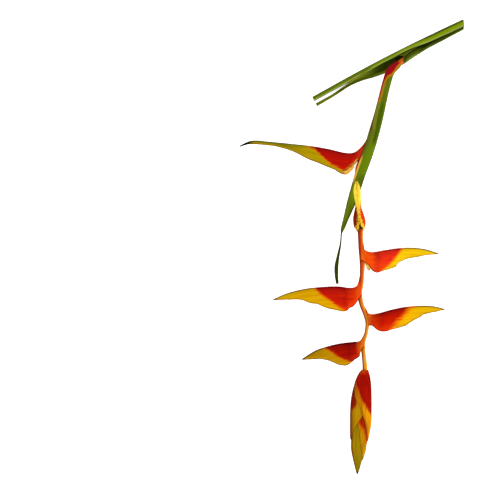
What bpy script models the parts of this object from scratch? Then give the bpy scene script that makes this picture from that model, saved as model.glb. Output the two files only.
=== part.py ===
"""A cut flower of a hanging heliconia, laid down on a flat surface.

The flower stem leaves a split leaf sheath at a crimson knee, runs inside a green leafy bract and
then zigzags between boat-shaped red and yellow bracts to a closed bud of younger bracts. Old
flowers sit inside the open bracts. Every leaf, stalk, bract and group of flowers is its own solid.

The frame is in metres with +Z up. The surface is at z = 0, the stem's cut end is towards +X +Y and
the bud's tip is towards -Y. The numbers below are real sizes in millimetres.
"""

from math import cos, radians, sin

import bmesh
import bpy
import numpy as np
from mathutils import Matrix, Vector

MM = 0.001
GAP = 0.35  # clear distance between two pieces that touch on the plant
STEM_CLEARANCE = 0.6  # the same at a bract's base, whose flat facets come nearer than its corners
REST_Z = 0.0  # the surface that the cut flower lies on
UP = np.array([0.0, 0.0, 1.0])

# The leaf stalks run straight from the cut end to the left. Places on them are (distance from the
# cut end, offset from the outer edge, which is negative towards the flower).
STALK_START = np.array([111.0, 227.5, 0.0])
STALK_LENGTH = 170.0
STALK_ANGLE = radians(207.2)
STALK_BOW = 1.9
STALK_DIRECTION = np.array([cos(STALK_ANGLE), sin(STALK_ANGLE), 0.0])
STALK_OUTWARD = np.array([sin(STALK_ANGLE), -cos(STALK_ANGLE), 0.0])
CUT_SKEW = 0.44  # how far the knife leant over at the thick end
CUT_SKEW_LENGTH = 30.0

# Outer stalk: distance, radius, half angle of its open channel in degrees, height of its centre.
OUTER_STALK = [
    (0, 5.9, 80, 6.0),
    (40, 5.8, 81, 6.0),
    (80, 5.5, 84, 5.9),
    (105, 4.5, 95, 5.0),
    (124, 3.2, 122, 3.9),
    (140, 2.6, 152, 3.0),
    (170, 2.4, 160, 2.4),
]
OUTER_STALK_WALL = 1.15

# Inner sheath: distance, offset, half width, half height, half angle of the wrap, centre height and
# how far its seam is turned from straight up towards the outer stalk, in degrees.
INNER_SHEATH = [
    (4, -6.5, 4.4, 4.4, 172, 5.9, 30),
    (30, -6.4, 4.5, 4.4, 170, 5.9, 28),
    (46, -6.7, 4.8, 4.5, 168, 5.9, 24),
    (57, -7.4, 5.3, 4.8, 156, 6.0, 12),
    (66, -8.2, 5.7, 5.0, 120, 6.0, 2),
    (76, -8.9, 5.9, 5.0, 84, 5.8, 0),
    (90, -9.2, 5.7, 4.9, 70, 5.4, 0),
    (104, -8.6, 4.5, 4.0, 76, 4.5, 0),
    (118, -8.0, 3.1, 3.0, 92, 3.5, 0),
    (130, -7.8, 2.2, 2.3, 128, 2.8, 0),
    (148, -8.2, 2.0, 2.1, 148, 2.3, 0),
    (170, -8.6, 2.0, 2.0, 150, 2.0, 0),
]
INNER_SHEATH_WALL = 1.0

# Flower stem: x, y, height of its centre, radius. It leaves the sheath at the knee, passes under the
# leafy bract and turns a little at each bract's node.
FLOWER_STEM = [
    (109.4, 219.6, 5.9, 2.8),
    (87.0, 208.9, 5.9, 2.8),
    (67.0, 198.5, 6.0, 2.8),
    (57.5, 193.0, 6.6, 2.8),
    (50.5, 188.6, 8.3, 2.8),
    (43.8, 183.2, 10.1, 2.8),
    (37.6, 175.0, 10.5, 2.8),
    (33.9, 163.0, 9.6, 2.85),
    (30.3, 148.5, 8.2, 2.9),
    (26.3, 132.0, 7.0, 3.0),
    (21.5, 115.0, 6.5, 3.2),
    (14.8, 97.0, 6.4, 3.3),
    (8.5, 79.0, 6.3, 3.1),
    (5.4, 60.0, 6.3, 3.0),
    (5.8, 42.0, 6.3, 3.1),
    (7.6, 24.0, 6.3, 3.3),
    (8.0, 10.0, 6.3, 2.7),
    (8.0, -1.0, 6.3, 2.6),
    (9.2, -12.0, 6.3, 2.8),
    (9.2, -25.0, 6.3, 2.4),
    (8.5, -37.0, 6.3, 2.3),
    (7.3, -47.0, 6.3, 2.5),
    (9.4, -58.0, 6.3, 2.1),
    (12.7, -66.5, 6.3, 2.1),
    (14.9, -75.5, 6.3, 2.1),
    (13.7, -86.5, 6.3, 1.9),
    (10.6, -97.0, 6.3, 2.1),
    (11.2, -110.0, 6.3, 2.0),
    (12.0, -120.0, 6.3, 2.2),
    (12.2, -127.5, 6.3, 2.5),
]

# Leafy bract: x, y, crown height, half width, half height, left and right wrap angles in degrees.
# It sheathes the stem, lets it out on the left, crosses over it and ends in a thin drip tip.
LEAFY_BRACT = [
    (44.3, 184.0, 14.1, 4.2, 4.2, 148, 148),
    (37.6, 175.0, 14.9, 4.4, 4.4, 150, 150),
    (33.9, 163.0, 14.05, 4.45, 4.45, 150, 150),
    (30.3, 148.5, 12.75, 4.6, 4.55, 150, 150),
    (26.5, 132.0, 11.8, 5.0, 4.8, 140, 140),
    (22.6, 117.5, 12.0, 5.4, 4.9, 96, 128),
    (18.4, 104.0, 12.9, 5.7, 4.2, 66, 104),
    (12.9, 87.0, 13.5, 5.6, 3.2, 74, 82),
    (7.2, 71.0, 13.5, 5.5, 2.9, 74, 74),
    (2.6, 56.0, 12.6, 5.2, 2.8, 74, 74),
    (-2.2, 42.0, 9.9, 4.0, 2.7, 74, 74),
    (-6.0, 30.0, 6.6, 2.6, 2.4, 78, 78),
    (-8.9, 19.5, 4.2, 2.2, 2.0, 80, 80),
    (-10.9, 13.0, 3.2, 1.3, 1.5, 84, 84),
    (-11.7, 3.0, 2.2, 1.1, 1.4, 84, 84),
    (-14.0, -9.0, 1.6, 1.6, 1.4, 84, 84),
    (-15.8, -20.0, 1.5, 2.0, 1.4, 80, 80),
    (-15.8, -29.0, 1.5, 1.8, 1.4, 80, 80),
    (-14.9, -37.3, 1.5, 1.3, 1.4, 80, 80),
]
LEAFY_BRACT_WALL = 0.9

# Each open bract stands on a node of the stem. Its outline is drawn in its own plane from that
# node: (distance outwards, distance towards the cut end). The keel is its folded back and the lip is
# its free edge. Thickness is half the width of the boat at equal steps from the base to the tip.
BRACTS = {
    "bract_1": {
        "node": (11.5, 90.5, 6.3),
        "side": -1,
        "tilt": -1.6,
        "keel": [(-2.6, 18), (2.6, 9.6), (9.6, 3.8), (18, 3.2), (34, 6.8), (52, 10), (72, 12.2), (94, 14.4),
                 (113, 15.4), (125, 10.4)],
        "lip": [(0.5, -11), (6.5, -11), (13, -15), (20, -18.2), (28, -14.6), (40, -9), (56, -2.8),
                (72, 5), (86, 9.2), (102, 11.4), (114, 12), (124.6, 9.3)],
        "thickness": (3.9, 6.2, 4.4, 2.6, 1.7, 1.2),
        "pinch": (0.62, 0.9),
    },
    "bract_3": {
        "node": (9.3, -11.5, 6.3),
        "side": 1,
        "tilt": -2.4,
        "keel": [(-1.2, 20), (0.2, 13.5), (2.9, 8.2), (9.6, 6), (22.2, 7.8), (36.2, 9.8), (50.2, 10.4),
                 (64.2, 8.7), (77.4, 4.6)],
        "lip": [(0.6, -8.5), (4.6, -12), (10.4, -14.9), (20.2, -13.2), (29.4, -10.4), (35, -6.6),
                (42.2, -2.2), (54.2, 0.8), (65.2, 2.9), (77.2, 3.8)],
        "thickness": (4.0, 6.3, 5.6, 3.8, 2.2, 1.2),
        "pinch": (0.62, 0.9),
    },
    "bract_4": {
        "node": (6.3, -47.5, 6.3),
        "side": -1,
        "tilt": -2.2,
        "keel": [(-2.6, 22), (-1.2, 14), (1.8, 8.2), (7.4, 6.2), (20.8, 7.6), (36.8, 7.1), (54.8, 5),
                 (70.8, 1), (85.8, -5.2)],
        "lip": [(-0.6, -7.5), (3.4, -10.6), (8.4, -14.8), (15.8, -17.3), (26.4, -15.2), (41.2, -10.8),
                (52.8, -7.2), (66.8, -5.7), (85.6, -6.2)],
        "thickness": (3.8, 6.2, 5.6, 3.9, 2.3, 1.2),
        "pinch": (0.6, 0.9),
    },
    "bract_5": {
        "node": (14.2, -72.5, 6.3),
        "side": 1,
        "tilt": -2.0,
        "keel": [(-3.8, 16), (-1.4, 9.4), (2.8, 5), (11.3, 5.7), (23.3, 9), (37.3, 11.9), (51.3, 13.2),
                 (65.3, 12.9), (78.6, 10.2)],
        "lip": [(-0.2, -6), (4.6, -7.6), (9.6, -11.2), (17.3, -12.7), (27.3, -10.8), (37.3, -6.9),
                (44.3, -2.4), (52.3, 2.1), (63.3, 5.9), (78.4, 9.3)],
        "thickness": (3.5, 6.0, 5.4, 3.8, 2.3, 1.2),
        "pinch": (0.55, 0.9),
    },
    "bract_6": {
        "node": (10.6, -98.5, 6.3),
        "side": -1,
        "tilt": -2.6,
        "keel": [(-2.6, 15), (-0.6, 8.6), (3.2, 4), (10, 3.1), (22, 1.7), (35, -1.2), (48, -5.8),
                 (61.4, -14)],
        "lip": [(0.4, -7), (5.8, -10.6), (9.6, -15.8), (17, -20.6), (25, -19.4), (33, -15.8), (43, -14),
                (52, -14.5), (60.8, -15)],
        "thickness": (3.4, 5.6, 5.0, 3.6, 2.2, 1.2),
        "pinch": (0.5, 0.9),
    },
}

# The second bract points up off the surface and back along the stem, with its mouth upwards.
RAISED_BRACT = {
    "node": (6.9, 20.5, 6.3),
    "rise": 50.0,
    "sway": 6.5,
    "keel": [(4.8, 0.5), (9, 2.2), (15.6, 3.2), (26, 3.6), (37.5, 3.1), (49.7, 2.1), (60.4, 0.9), (68, 0)],
    "lip": [(-1.7, -4), (1.7, -7.7), (6.6, -11.9), (12.7, -15.5), (20.5, -17.2), (29.2, -16), (38.8, -12.4),
            (47.9, -8.2), (57, -4.1), (67.9, -0.5)],
    "thickness": (4.3, 5.9, 6.2, 5.4, 3.9, 2.7, 2.6, 3.3, 3.6, 2.8, 1.1),
    "pinch": (0.4, 1.0),
}
BRACT_WALL = 1.15
BRACT_TIP_WALL = 0.7

# The closed bud: distance from its base, left edge, right edge and half height of its outline.
BUD_TOP = -123.6
BUD_OUTLINE = [
    (0, 8.2, 16.0, 3.7),
    (4, 5.3, 17.1, 5.0),
    (9, 2.8, 18.2, 5.9),
    (16, 0.7, 19.0, 6.5),
    (26, -1.2, 19.3, 6.8),
    (40, -2.4, 19.3, 6.8),
    (54, -2.6, 19.0, 6.4),
    (66, -2.5, 16.8, 5.6),
    (80, -1.4, 13.7, 4.4),
    (92, 1.0, 9.9, 2.9),
    (100, 2.9, 7.0, 1.7),
    (104, 4.0, 5.6, 0.9),
]
# Each bract of the bud wraps those younger than it, from its keel on one side to its free edges,
# which run down to its tip: (distance from the bud's base, x of the edge).
BUD_BRACTS = [
    ("bud_bract_1", 1, [(0, 8.6), (5, 5.4), (13, 2.2), (20, 1.8), (27, 2.8), (34, 5.8), (44, 9.8),
                        (52, 12.6), (62, 14.4), (71, 15.5)]),
    ("bud_bract_2", -1, [(6, 16.8), (20, 17.4), (34, 14.4), (44, 10.6), (51, 5.8), (57, 2.0), (63, -0.2),
                         (69, -2.0)]),
    ("bud_bract_3", 1, [(11, 3.0), (30, 1.2), (44, 3.0), (52, 4.8), (60, 6.2), (72, 7.8), (82, 9.3),
                        (90, 10.3)]),
]
BUD_WALL = 0.8
BUD_GAP = 0.45  # more than the other gap, because flat facets come nearer than their corners
BUD_Z = 6.4
BUD_CORE_START = 15.0
BUD_MARGIN = radians(12)  # how far beyond a free edge the next bract still lies as deep as under it
BUD_UNCOVER = radians(55)  # and the angle over which it then swells back out
BUD_UNCOVER_RATE = radians(8)  # and the edge's own end is blended out this fast past its tip, per mm

# Flowers in the mouth of each open bract, in its own plane: where they start, how far they reach.
FLOWER_COUNT = 3
FLOWER_RADIUS = 1.35
FLOWER_SPREAD = 1.35
FLOWERS = {
    "flowers_1": ("bract_1", [(5.6, -3), (12, -6.5), (17.5, -12.5), (19, -16.5)]),
    "flowers_2": ("bract_2", [(3.3, -4.3), (5.6, -7.6), (9.5, -10.8), (14.1, -13)]),
    "flowers_3": ("bract_3", [(4.6, -3), (7.5, -7), (9, -11), (9.4, -14)]),
    "flowers_4": ("bract_4", [(1.5, -4.4), (9, -6.4), (14.5, -10.5), (15.8, -14.8)]),
    "flowers_5": ("bract_5", [(4.4, -1.5), (10, -3.5), (14.6, -7.5), (16.4, -11)]),
    "flowers_6": ("bract_6", [(3.9, -3), (9.8, -6.8), (14.4, -12), (16.4, -17)]),
}

COLOURS = {
    "leaf_green": (0.16, 0.24, 0.02),
    "stem_orange": (0.62, 0.12, 0.01),
    "bract_red": (0.56, 0.03, 0.004),
    "bud_red": (0.50, 0.10, 0.005),
    "bud_yellow": (0.50, 0.30, 0.01),
    "flower_yellow": (0.85, 0.50, 0.06),
}


def curve_through(points, count):
    """Points at equal steps on the smooth curve through the given points.

    Each stretch is a cubic with the slopes of a Catmull-Rom curve, timed by the square root of the
    distance in its first two columns, so that it doesn't overshoot where the points lie close.
    """
    rows = np.array(points, float)
    steps = np.linalg.norm(np.diff(rows[:, :2], axis=0), axis=1)
    times = np.concatenate([[0.0], np.cumsum(np.sqrt(steps))])
    slopes = np.gradient(rows, times, axis=0)
    fine = np.linspace(0.0, times[-1], 40 * len(rows))
    span = np.clip(np.searchsorted(times, fine, side="right") - 1, 0, len(rows) - 2)
    width = (times[span + 1] - times[span])[:, None]
    t = ((fine - times[span])[:, None]) / width
    dense = (
        (2 * t**3 - 3 * t**2 + 1) * rows[span]
        + (t**3 - 2 * t**2 + t) * width * slopes[span]
        + (3 * t**2 - 2 * t**3) * rows[span + 1]
        + (t**3 - t**2) * width * slopes[span + 1]
    )
    run = np.concatenate([[0.0], np.cumsum(np.linalg.norm(np.diff(dense[:, :2], axis=0), axis=1))])
    wanted = np.linspace(0.0, run[-1], count)
    return np.stack([np.interp(wanted, run, column) for column in dense.T], axis=1)


def eased(values, share):
    """The values, given at equal steps of 0 to 1, read at each share of the way with rounded corners."""
    rows = np.stack([np.linspace(0.0, 1.0, len(values)), np.array(values, float)], axis=1)
    dense = curve_through(rows, 200)
    return np.interp(share, dense[:, 0], dense[:, 1])


def path_axes(path):
    """The unit directions along a path, to its right as it runs towards -Y, and up."""
    along = np.gradient(path, axis=0)
    along /= np.linalg.norm(along, axis=1)[:, None]
    right = np.cross(UP, along)
    right /= np.linalg.norm(right, axis=1)[:, None]
    return along, right, np.cross(along, right)


def material(name, colour, roughness=0.45):
    """A Principled material with the piece's own colour."""
    made = bpy.data.materials.new(name)
    made.use_nodes = True
    shader = made.node_tree.nodes["Principled BSDF"]
    shader.inputs["Base Color"].default_value = (*colour, 1.0)
    shader.inputs["Roughness"].default_value = roughness
    shader.inputs["Metallic"].default_value = 0.0
    made.diffuse_color = (*colour, 1.0)
    return made


def mesh_object(name, points, faces, colour, parent, frame=None):
    """A smooth-shaded object from points in millimetres, placed by a 4 by 4 frame in metres."""
    mesh = bpy.data.meshes.new(name)
    mesh.from_pydata([Vector(p) * MM for p in points], [], faces)
    shape = bmesh.new()
    shape.from_mesh(mesh)
    bmesh.ops.recalc_face_normals(shape, faces=shape.faces)
    shape.to_mesh(mesh)
    shape.free()
    mesh.shade_smooth()
    mesh.set_sharp_from_angle(angle=radians(40))
    made = bpy.data.objects.new(name, mesh)
    bpy.context.scene.collection.objects.link(made)
    made.data.materials.append(material(name, COLOURS[colour]))
    made.parent = parent
    if frame is not None:
        made.matrix_world = frame
    return made


def grid_triangles(first, rows, columns, flip=False):
    """Triangles over a grid of points, all split along the same diagonal."""
    faces = []
    for i in range(rows - 1):
        for j in range(columns - 1):
            a = first + i * columns + j
            b, c, d = a + columns, a + columns + 1, a + 1
            faces += [(a, c, b), (a, d, c)] if flip else [(a, b, c), (a, c, d)]
    return faces


def strip(first_line, second_line):
    """Triangles between two lines of points, to close an edge of a shell."""
    faces = []
    for a, b, c, d in zip(first_line[:-1], first_line[1:], second_line[1:], second_line[:-1]):
        faces += [(a, b, c), (a, c, d)]
    return faces


def shell(name, outer, inner, colour, parent, frame=None):
    """A blade with an outer and an inner face, given as two grids of points, closed round its edge."""
    rows, columns = outer.shape[:2]
    points = np.concatenate([outer.reshape(-1, 3), inner.reshape(-1, 3)])
    index = np.arange(2 * rows * columns).reshape(2, rows, columns)
    faces = grid_triangles(0, rows, columns) + grid_triangles(rows * columns, rows, columns, flip=True)
    faces += strip(index[0, :, 0], index[1, :, 0]) + strip(index[1, :, -1], index[0, :, -1])
    faces += strip(index[1, 0], index[0, 0]) + strip(index[0, -1], index[1, -1])
    return mesh_object(name, points, [tuple(int(k) for k in face) for face in faces], colour, parent, frame)


def tube(name, rings, colour, parent, frame=None):
    """A solid through closed rings of points, with both ends closed by a fan."""
    count, sides = rings.shape[:2]
    points = np.concatenate([rings.reshape(-1, 3), [rings[0].mean(axis=0)], [rings[-1].mean(axis=0)]])
    start, end = count * sides, count * sides + 1
    faces = []
    for i in range(count - 1):
        for j in range(sides):
            a, b = i * sides + j, i * sides + (j + 1) % sides
            faces += [(a, b, b + sides), (a, b + sides, a + sides)]
    for j in range(sides):
        k = (j + 1) % sides
        last = (count - 1) * sides
        faces += [(start, k, j), (end, last + j, last + k)]
    return mesh_object(name, points, faces, colour, parent, frame)


def round_rings(path, axis_1, axis_2, radius_1, radius_2, sides):
    """Rings of points round a path: its centre plus cosine and sine times the two half widths."""
    angle = np.linspace(0.0, 2 * np.pi, sides, endpoint=False)[None, :, None]
    return (
        path[:, None]
        + axis_1[:, None] * radius_1[:, None, None] * np.cos(angle)
        + axis_2[:, None] * radius_2[:, None, None] * np.sin(angle)
    )


def arc_grid(centre, axis_1, axis_2, radius_1, radius_2, start, end, columns):
    """A grid of points on part of an oval round each centre, from the start to the end angle."""
    share = np.linspace(0.0, 1.0, columns)[None, :]
    angle = (start[:, None] + (end - start)[:, None] * share)[:, :, None]
    return (
        centre[:, None]
        + axis_1[:, None] * radius_1[:, None, None] * np.cos(angle)
        + axis_2[:, None] * radius_2[:, None, None] * np.sin(angle)
    )


def flattened(outer, inner, wall, frame=None):
    """Both faces of a blade pressed flat where they would go under the surface it lies on."""
    turn = np.eye(3) if frame is None else np.array(frame)[:3, :3]
    place = np.zeros(3) if frame is None else np.array(frame)[:3, 3] / MM
    faces = []
    for grid, lowest in ((outer, REST_Z), (inner, REST_Z + wall)):
        world = grid @ turn.T + place
        world[..., 2] = np.maximum(world[..., 2], lowest)
        faces.append((world - place) @ turn)
    return faces


def stalk_point(distance, offset):
    """Points beside the leaf stalks' outer edge, which bows outwards a little at mid length."""
    bow = STALK_BOW * np.sin(np.pi * np.clip(distance / STALK_LENGTH, 0.0, 1.0))
    return STALK_START + np.outer(distance, STALK_DIRECTION) + np.outer(offset + bow, STALK_OUTWARD)


def skewed(grid, distance):
    """The first sections leant over, as the knife cut them, and straight again further along."""
    lean = CUT_SKEW * np.clip(1.0 - distance / CUT_SKEW_LENGTH, 0.0, 1.0)
    off = (grid - stalk_point(distance, np.zeros_like(distance))[:, None]) @ STALK_OUTWARD
    return grid - STALK_DIRECTION * (off * lean[:, None])[:, :, None]


def outer_stalk(parent):
    """The older leaf's stalk: an open channel round the sheath that narrows to a petiole."""
    distance, radius, half_angle, height = curve_through(OUTER_STALK, 15).T
    half_angle = np.radians(half_angle)
    centre = stalk_point(distance, -radius) + np.outer(height, UP)
    outwards = np.tile(STALK_OUTWARD, (len(centre), 1))
    up = np.tile(UP, (len(centre), 1))
    grids = [
        skewed(arc_grid(centre, outwards, up, r, r, -half_angle, half_angle, 11), distance)
        for r in (radius, radius - OUTER_STALK_WALL)
    ]
    return shell("outer_leaf_stalk", *flattened(*grids, OUTER_STALK_WALL), "leaf_green", parent)


def inner_sheath(parent):
    """The younger leaf's sheath: wrapped round the stem, split open at the knee, then a petiole."""
    distance, offset, across, deep, half_angle, height, seam = curve_through(INNER_SHEATH, 20).T
    half_angle, seam = np.radians(half_angle), np.radians(seam)
    centre = stalk_point(distance, offset) + np.outer(height, UP)
    outwards = np.tile(STALK_OUTWARD, (len(centre), 1))
    down = np.tile(-UP, (len(centre), 1))
    grids = [
        skewed(
            arc_grid(centre, down, outwards, deep - w, across - w, -half_angle - seam, half_angle - seam, 13),
            distance,
        )
        for w in (0.0, INNER_SHEATH_WALL)
    ]
    return shell("inner_leaf_sheath", *flattened(*grids, INNER_SHEATH_WALL), "leaf_green", parent)


def stem_route(count):
    """The flower stem's centre line and radius."""
    rows = curve_through(FLOWER_STEM, count)
    return rows[:, :3], rows[:, 3]


def flower_stem(parent):
    """The stem from the cut end to the bud, as one round solid."""
    path, radius = stem_route(64)
    _, right, up = path_axes(path)
    return tube("flower_stem", round_rings(path, right, up, radius, radius, 10), "stem_orange", parent)


def leafy_bract(parent):
    """The green bract that sheathes the stem, crosses over it and ends in a drip tip."""
    rows = curve_through(LEAFY_BRACT, 40)
    crown, across, deep = rows[:, :3], rows[:, 3], rows[:, 4]
    start, end = -np.radians(rows[:, 5]), np.radians(rows[:, 6])
    _, right, up = path_axes(crown)
    centre = crown - up * deep[:, None]
    grids = [
        arc_grid(centre, up, right, deep - w, across - w, start, end, 11)
        for w in (0.0, LEAFY_BRACT_WALL)
    ]
    return shell("leafy_bract", *flattened(*grids, LEAFY_BRACT_WALL), "leaf_green", parent)


def bract_frame(bract):
    """The bract's own axes: x outwards from the stem, y towards the cut end, z across it."""
    if "rise" in bract:
        rise, sway = radians(bract["rise"]), radians(bract["sway"])
        outwards = Vector((-sin(sway) * cos(rise), cos(sway) * cos(rise), sin(rise)))
        across = Vector((-cos(sway), -sin(sway), 0.0))
    else:
        tilt = radians(bract["tilt"])
        outwards = Vector((bract["side"] * cos(tilt), 0.0, sin(tilt)))
        across = outwards.cross(Vector((0.0, 1.0, 0.0)))
    keelwards = across.cross(outwards)
    frame = Matrix((outwards, keelwards, across)).transposed().to_4x4()
    frame.translation = Vector(bract["node"]) * MM
    return frame


def boat_section(across, pinch):
    """How far out a boat's side is at each share of the way from keel to lip, of its half width.

    It rises steeply from the rounded keel, is fullest at mid depth and falls to the pinch at the lip.
    """
    rise = np.sqrt(1.0 - (1.0 - np.clip(across / 0.5, 0.0, 1.0)) ** 2.2)
    fall = np.clip((across - 0.5) / 0.5, 0.0, 1.0)
    return rise * (1.0 - (1.0 - pinch) * fall**2)


def boat_point(bract, along, across, inset):
    """Points of a folded bract in its own plane. Along runs from base to tip, across from one lip
    (-1) over the keel (0) to the other (1), and the inset is the wall between the two faces."""
    keel = curve_through(bract["keel"], 120)
    lip = curve_through(bract["lip"], 120)
    share = np.linspace(0.0, 1.0, 120)
    on_keel = np.stack([np.interp(along, share, keel[:, k]) for k in (0, 1)], axis=-1)
    on_lip = np.stack([np.interp(along, share, lip[:, k]) for k in (0, 1)], axis=-1)
    drop = np.abs(across) ** 1.4
    depth = np.linalg.norm(on_lip - on_keel, axis=-1)
    inwards = (on_lip - on_keel) / depth[..., None]
    half = eased(bract["thickness"], along) - inset
    down = np.minimum(inset, 0.45 * depth) * (1.0 - drop) + depth * drop
    flat = on_keel + inwards * down[..., None]
    side = np.sign(across) * half * boat_section(drop, eased(bract["pinch"], along))
    return np.concatenate([flat, side[..., None]], axis=-1)


def clear_start(bract, frame, across, wall):
    """For each line along the boat, how far from its base it has to start to clear the stem."""
    path, radius = stem_route(200)
    along = np.linspace(0.0, 0.5, 150)
    grid_along, grid_across = np.meshgrid(along, across, indexing="ij")
    turn = np.array(frame)[:3, :3]
    blocked = np.zeros(grid_along.shape, bool)
    for inset in (0.0, wall):
        local = boat_point(bract, grid_along, grid_across, inset)
        world = local @ turn.T + np.array(frame)[:3, 3] / MM
        away = np.linalg.norm(world[:, :, None] - path, axis=-1) - radius
        blocked |= away.min(axis=-1) < STEM_CLEARANCE
    last = np.where(blocked.any(axis=0), len(along) - 1 - np.argmax(blocked[::-1], axis=0), 0)
    return along[last] + 0.004


def open_bract(name, bract, parent, rows=18, columns=11):
    """One boat-shaped bract: a folded blade whose base is cut to clear the stem it clasps."""
    frame = bract_frame(bract)
    across = np.linspace(-1.0, 1.0, columns)
    first = clear_start(bract, frame, across, BRACT_WALL)
    step = np.linspace(0.0, 1.0, rows)[:, None]
    along = first[None, :] * (1.0 - step) + step
    wall = BRACT_WALL + (BRACT_TIP_WALL - BRACT_WALL) * along
    outer = boat_point(bract, along, np.broadcast_to(across, along.shape), 0.0)
    inner = boat_point(bract, along, np.broadcast_to(across, along.shape), wall)
    return shell(name, *flattened(outer, inner, BRACT_TIP_WALL, frame), "bract_red", parent, frame)


def bud_reach(side, edge, distance):
    """The angle from a bud bract's keel to its free edge at each distance, below 0 past its tip."""
    edge = curve_through(edge, 120)
    middle, wide, _ = bud_outline(np.minimum(distance, edge[-1, 0]))
    edge_x = np.interp(distance, edge[:, 0], edge[:, 1])
    reach = np.arccos(np.clip(side * (edge_x - middle) / wide, -0.96, 0.995))
    return reach - BUD_UNCOVER_RATE * np.maximum(distance - edge[-1, 0], 0.0)


def bud_outline(distance):
    """The middle, half width and half height of the bud's outline at each distance from its base."""
    rows = curve_through(BUD_OUTLINE, 200)
    left, right, high = [np.interp(distance, rows[:, 0], rows[:, k]) for k in (1, 2, 3)]
    return (left + right) / 2, (right - left) / 2, high


def bud_grid(distance, angle, over, wall=0.0):
    """Points on one layer of the bud at each distance and angle, which is 0 on the bud's right.

    The layer lies under each bract that covers it there, by a wall and a gap, and swells back out
    to the bud's outline beyond their free edges.
    """
    middle, wide, high = [row[:, None] for row in bud_outline(distance)]
    depth = np.full(angle.shape, wall)
    for _, side, edge in over:
        from_keel = np.abs(np.arctan2(np.sin(angle), side * np.cos(angle)))
        beyond = from_keel - bud_reach(side, edge, distance)[:, None] - BUD_MARGIN
        cover = 1.0 - np.clip(beyond / BUD_UNCOVER, 0.0, 1.0)
        depth = depth + (BUD_WALL + BUD_GAP) * cover * cover * (3.0 - 2.0 * cover)
    x, z = wide * np.cos(angle), high * np.sin(angle)
    normal = np.stack([x / wide**2, z / high**2])
    normal /= np.linalg.norm(normal, axis=0)
    y = np.broadcast_to(BUD_TOP - distance[:, None], x.shape)
    z = np.maximum(BUD_Z + z - normal[1] * depth, REST_Z + depth)
    return np.stack([middle + x - normal[0] * depth, y, z], axis=-1)


def bud_bract(name, side, edge, over, parent, rows=18, columns=13):
    """One closed bract of the bud: an oval sleeve open beyond its free edges, down to its tip."""
    distance = np.linspace(edge[0][0], edge[-1][0], rows)
    reach = bud_reach(side, edge, distance)[:, None]
    angle = reach * np.linspace(-1.0, 1.0, columns)[None, :] + (0.0 if side > 0 else np.pi)
    grids = [bud_grid(distance, angle, over, wall) for wall in (0.0, BUD_WALL)]
    return shell(name, *grids, "bud_red", parent)


def bud_core(parent):
    """The youngest bracts, still one closed spindle that reaches the bud's tip."""
    distance = np.linspace(BUD_CORE_START, BUD_OUTLINE[-1][0], 20)
    angle = np.broadcast_to(np.linspace(0.0, 2 * np.pi, 16, endpoint=False), (20, 16))
    return tube("bud_core", bud_grid(distance, angle, BUD_BRACTS), "bud_yellow", parent)


def flowers(name, route, frame, parent):
    """A few slender flowers fused at their foot, which spread towards the bract's mouth."""
    rows = curve_through(route, 7)
    path = np.concatenate([rows, np.zeros((len(rows), 1))], axis=1)
    along = np.gradient(path, axis=0)
    along /= np.linalg.norm(along, axis=1)[:, None]
    across = np.tile(UP, (len(path), 1))
    thick = FLOWER_RADIUS * np.array([0.9, 1.0, 1.05, 1.0, 0.95, 0.8, 0.45])
    group = bpy.data.collections.new(name)
    bpy.context.scene.collection.children.link(group)
    made = []
    for k in range(FLOWER_COUNT):
        spread = (k - (FLOWER_COUNT - 1) / 2) * FLOWER_SPREAD * np.linspace(0.75, 1.6, len(path))
        centre = path + across * spread[:, None]
        rings = round_rings(centre, np.cross(along, across), across, thick, thick, 6)
        made.append(tube(f"{name}_{k}", rings, "flower_yellow", parent, frame))
    whole = made[0]
    whole.name = name
    for other in made[1:]:
        bpy.context.scene.collection.objects.unlink(other)
        group.objects.link(other)
    union = whole.modifiers.new("fused", "BOOLEAN")
    union.operation = "UNION"
    union.operand_type = "COLLECTION"
    union.collection = group
    bpy.context.view_layer.update()
    graph = bpy.context.evaluated_depsgraph_get()
    fused = bpy.data.meshes.new_from_object(whole.evaluated_get(graph))
    whole.modifiers.clear()
    whole.data = fused
    for other in made[1:]:
        bpy.data.objects.remove(other)
    bpy.data.collections.remove(group)
    return whole


def build():
    """Clears the scene and makes every piece of the cut flower."""
    for old in list(bpy.data.objects):
        bpy.data.objects.remove(old)
    root = bpy.data.objects.new("heliconia", None)
    bpy.context.scene.collection.objects.link(root)
    outer_stalk(root)
    inner_sheath(root)
    flower_stem(root)
    leafy_bract(root)
    bracts = {**BRACTS, "bract_2": RAISED_BRACT}
    for name in sorted(bracts):
        open_bract(name, bracts[name], root)
    for k, (name, side, edge) in enumerate(BUD_BRACTS):
        bud_bract(name, side, edge, BUD_BRACTS[:k], root)
    bud_core(root)
    for name, (bract, route) in FLOWERS.items():
        flowers(name, route, bract_frame(bracts[bract]), root)


build()
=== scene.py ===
# %% [markdown]
# # A cut heliconia flower, lying flat
#
# This script dresses the packed model of a hanging heliconia: a split leaf sheath and an older
# leaf's stalk, the flower stem that leaves them at a crimson knee, a green leafy bract, six open
# boat-shaped bracts in red and yellow, and a bud of bracts that are still closed.
#
# Nearly every piece of such a flower is a thin blade, so the script works out one blade after
# another as a grid of points with numpy, and gives each a skin whose colours follow the blade.

# %% Load the model and keep its size
from math import atan2, cos, pi, radians, sin
from types import SimpleNamespace

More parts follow.
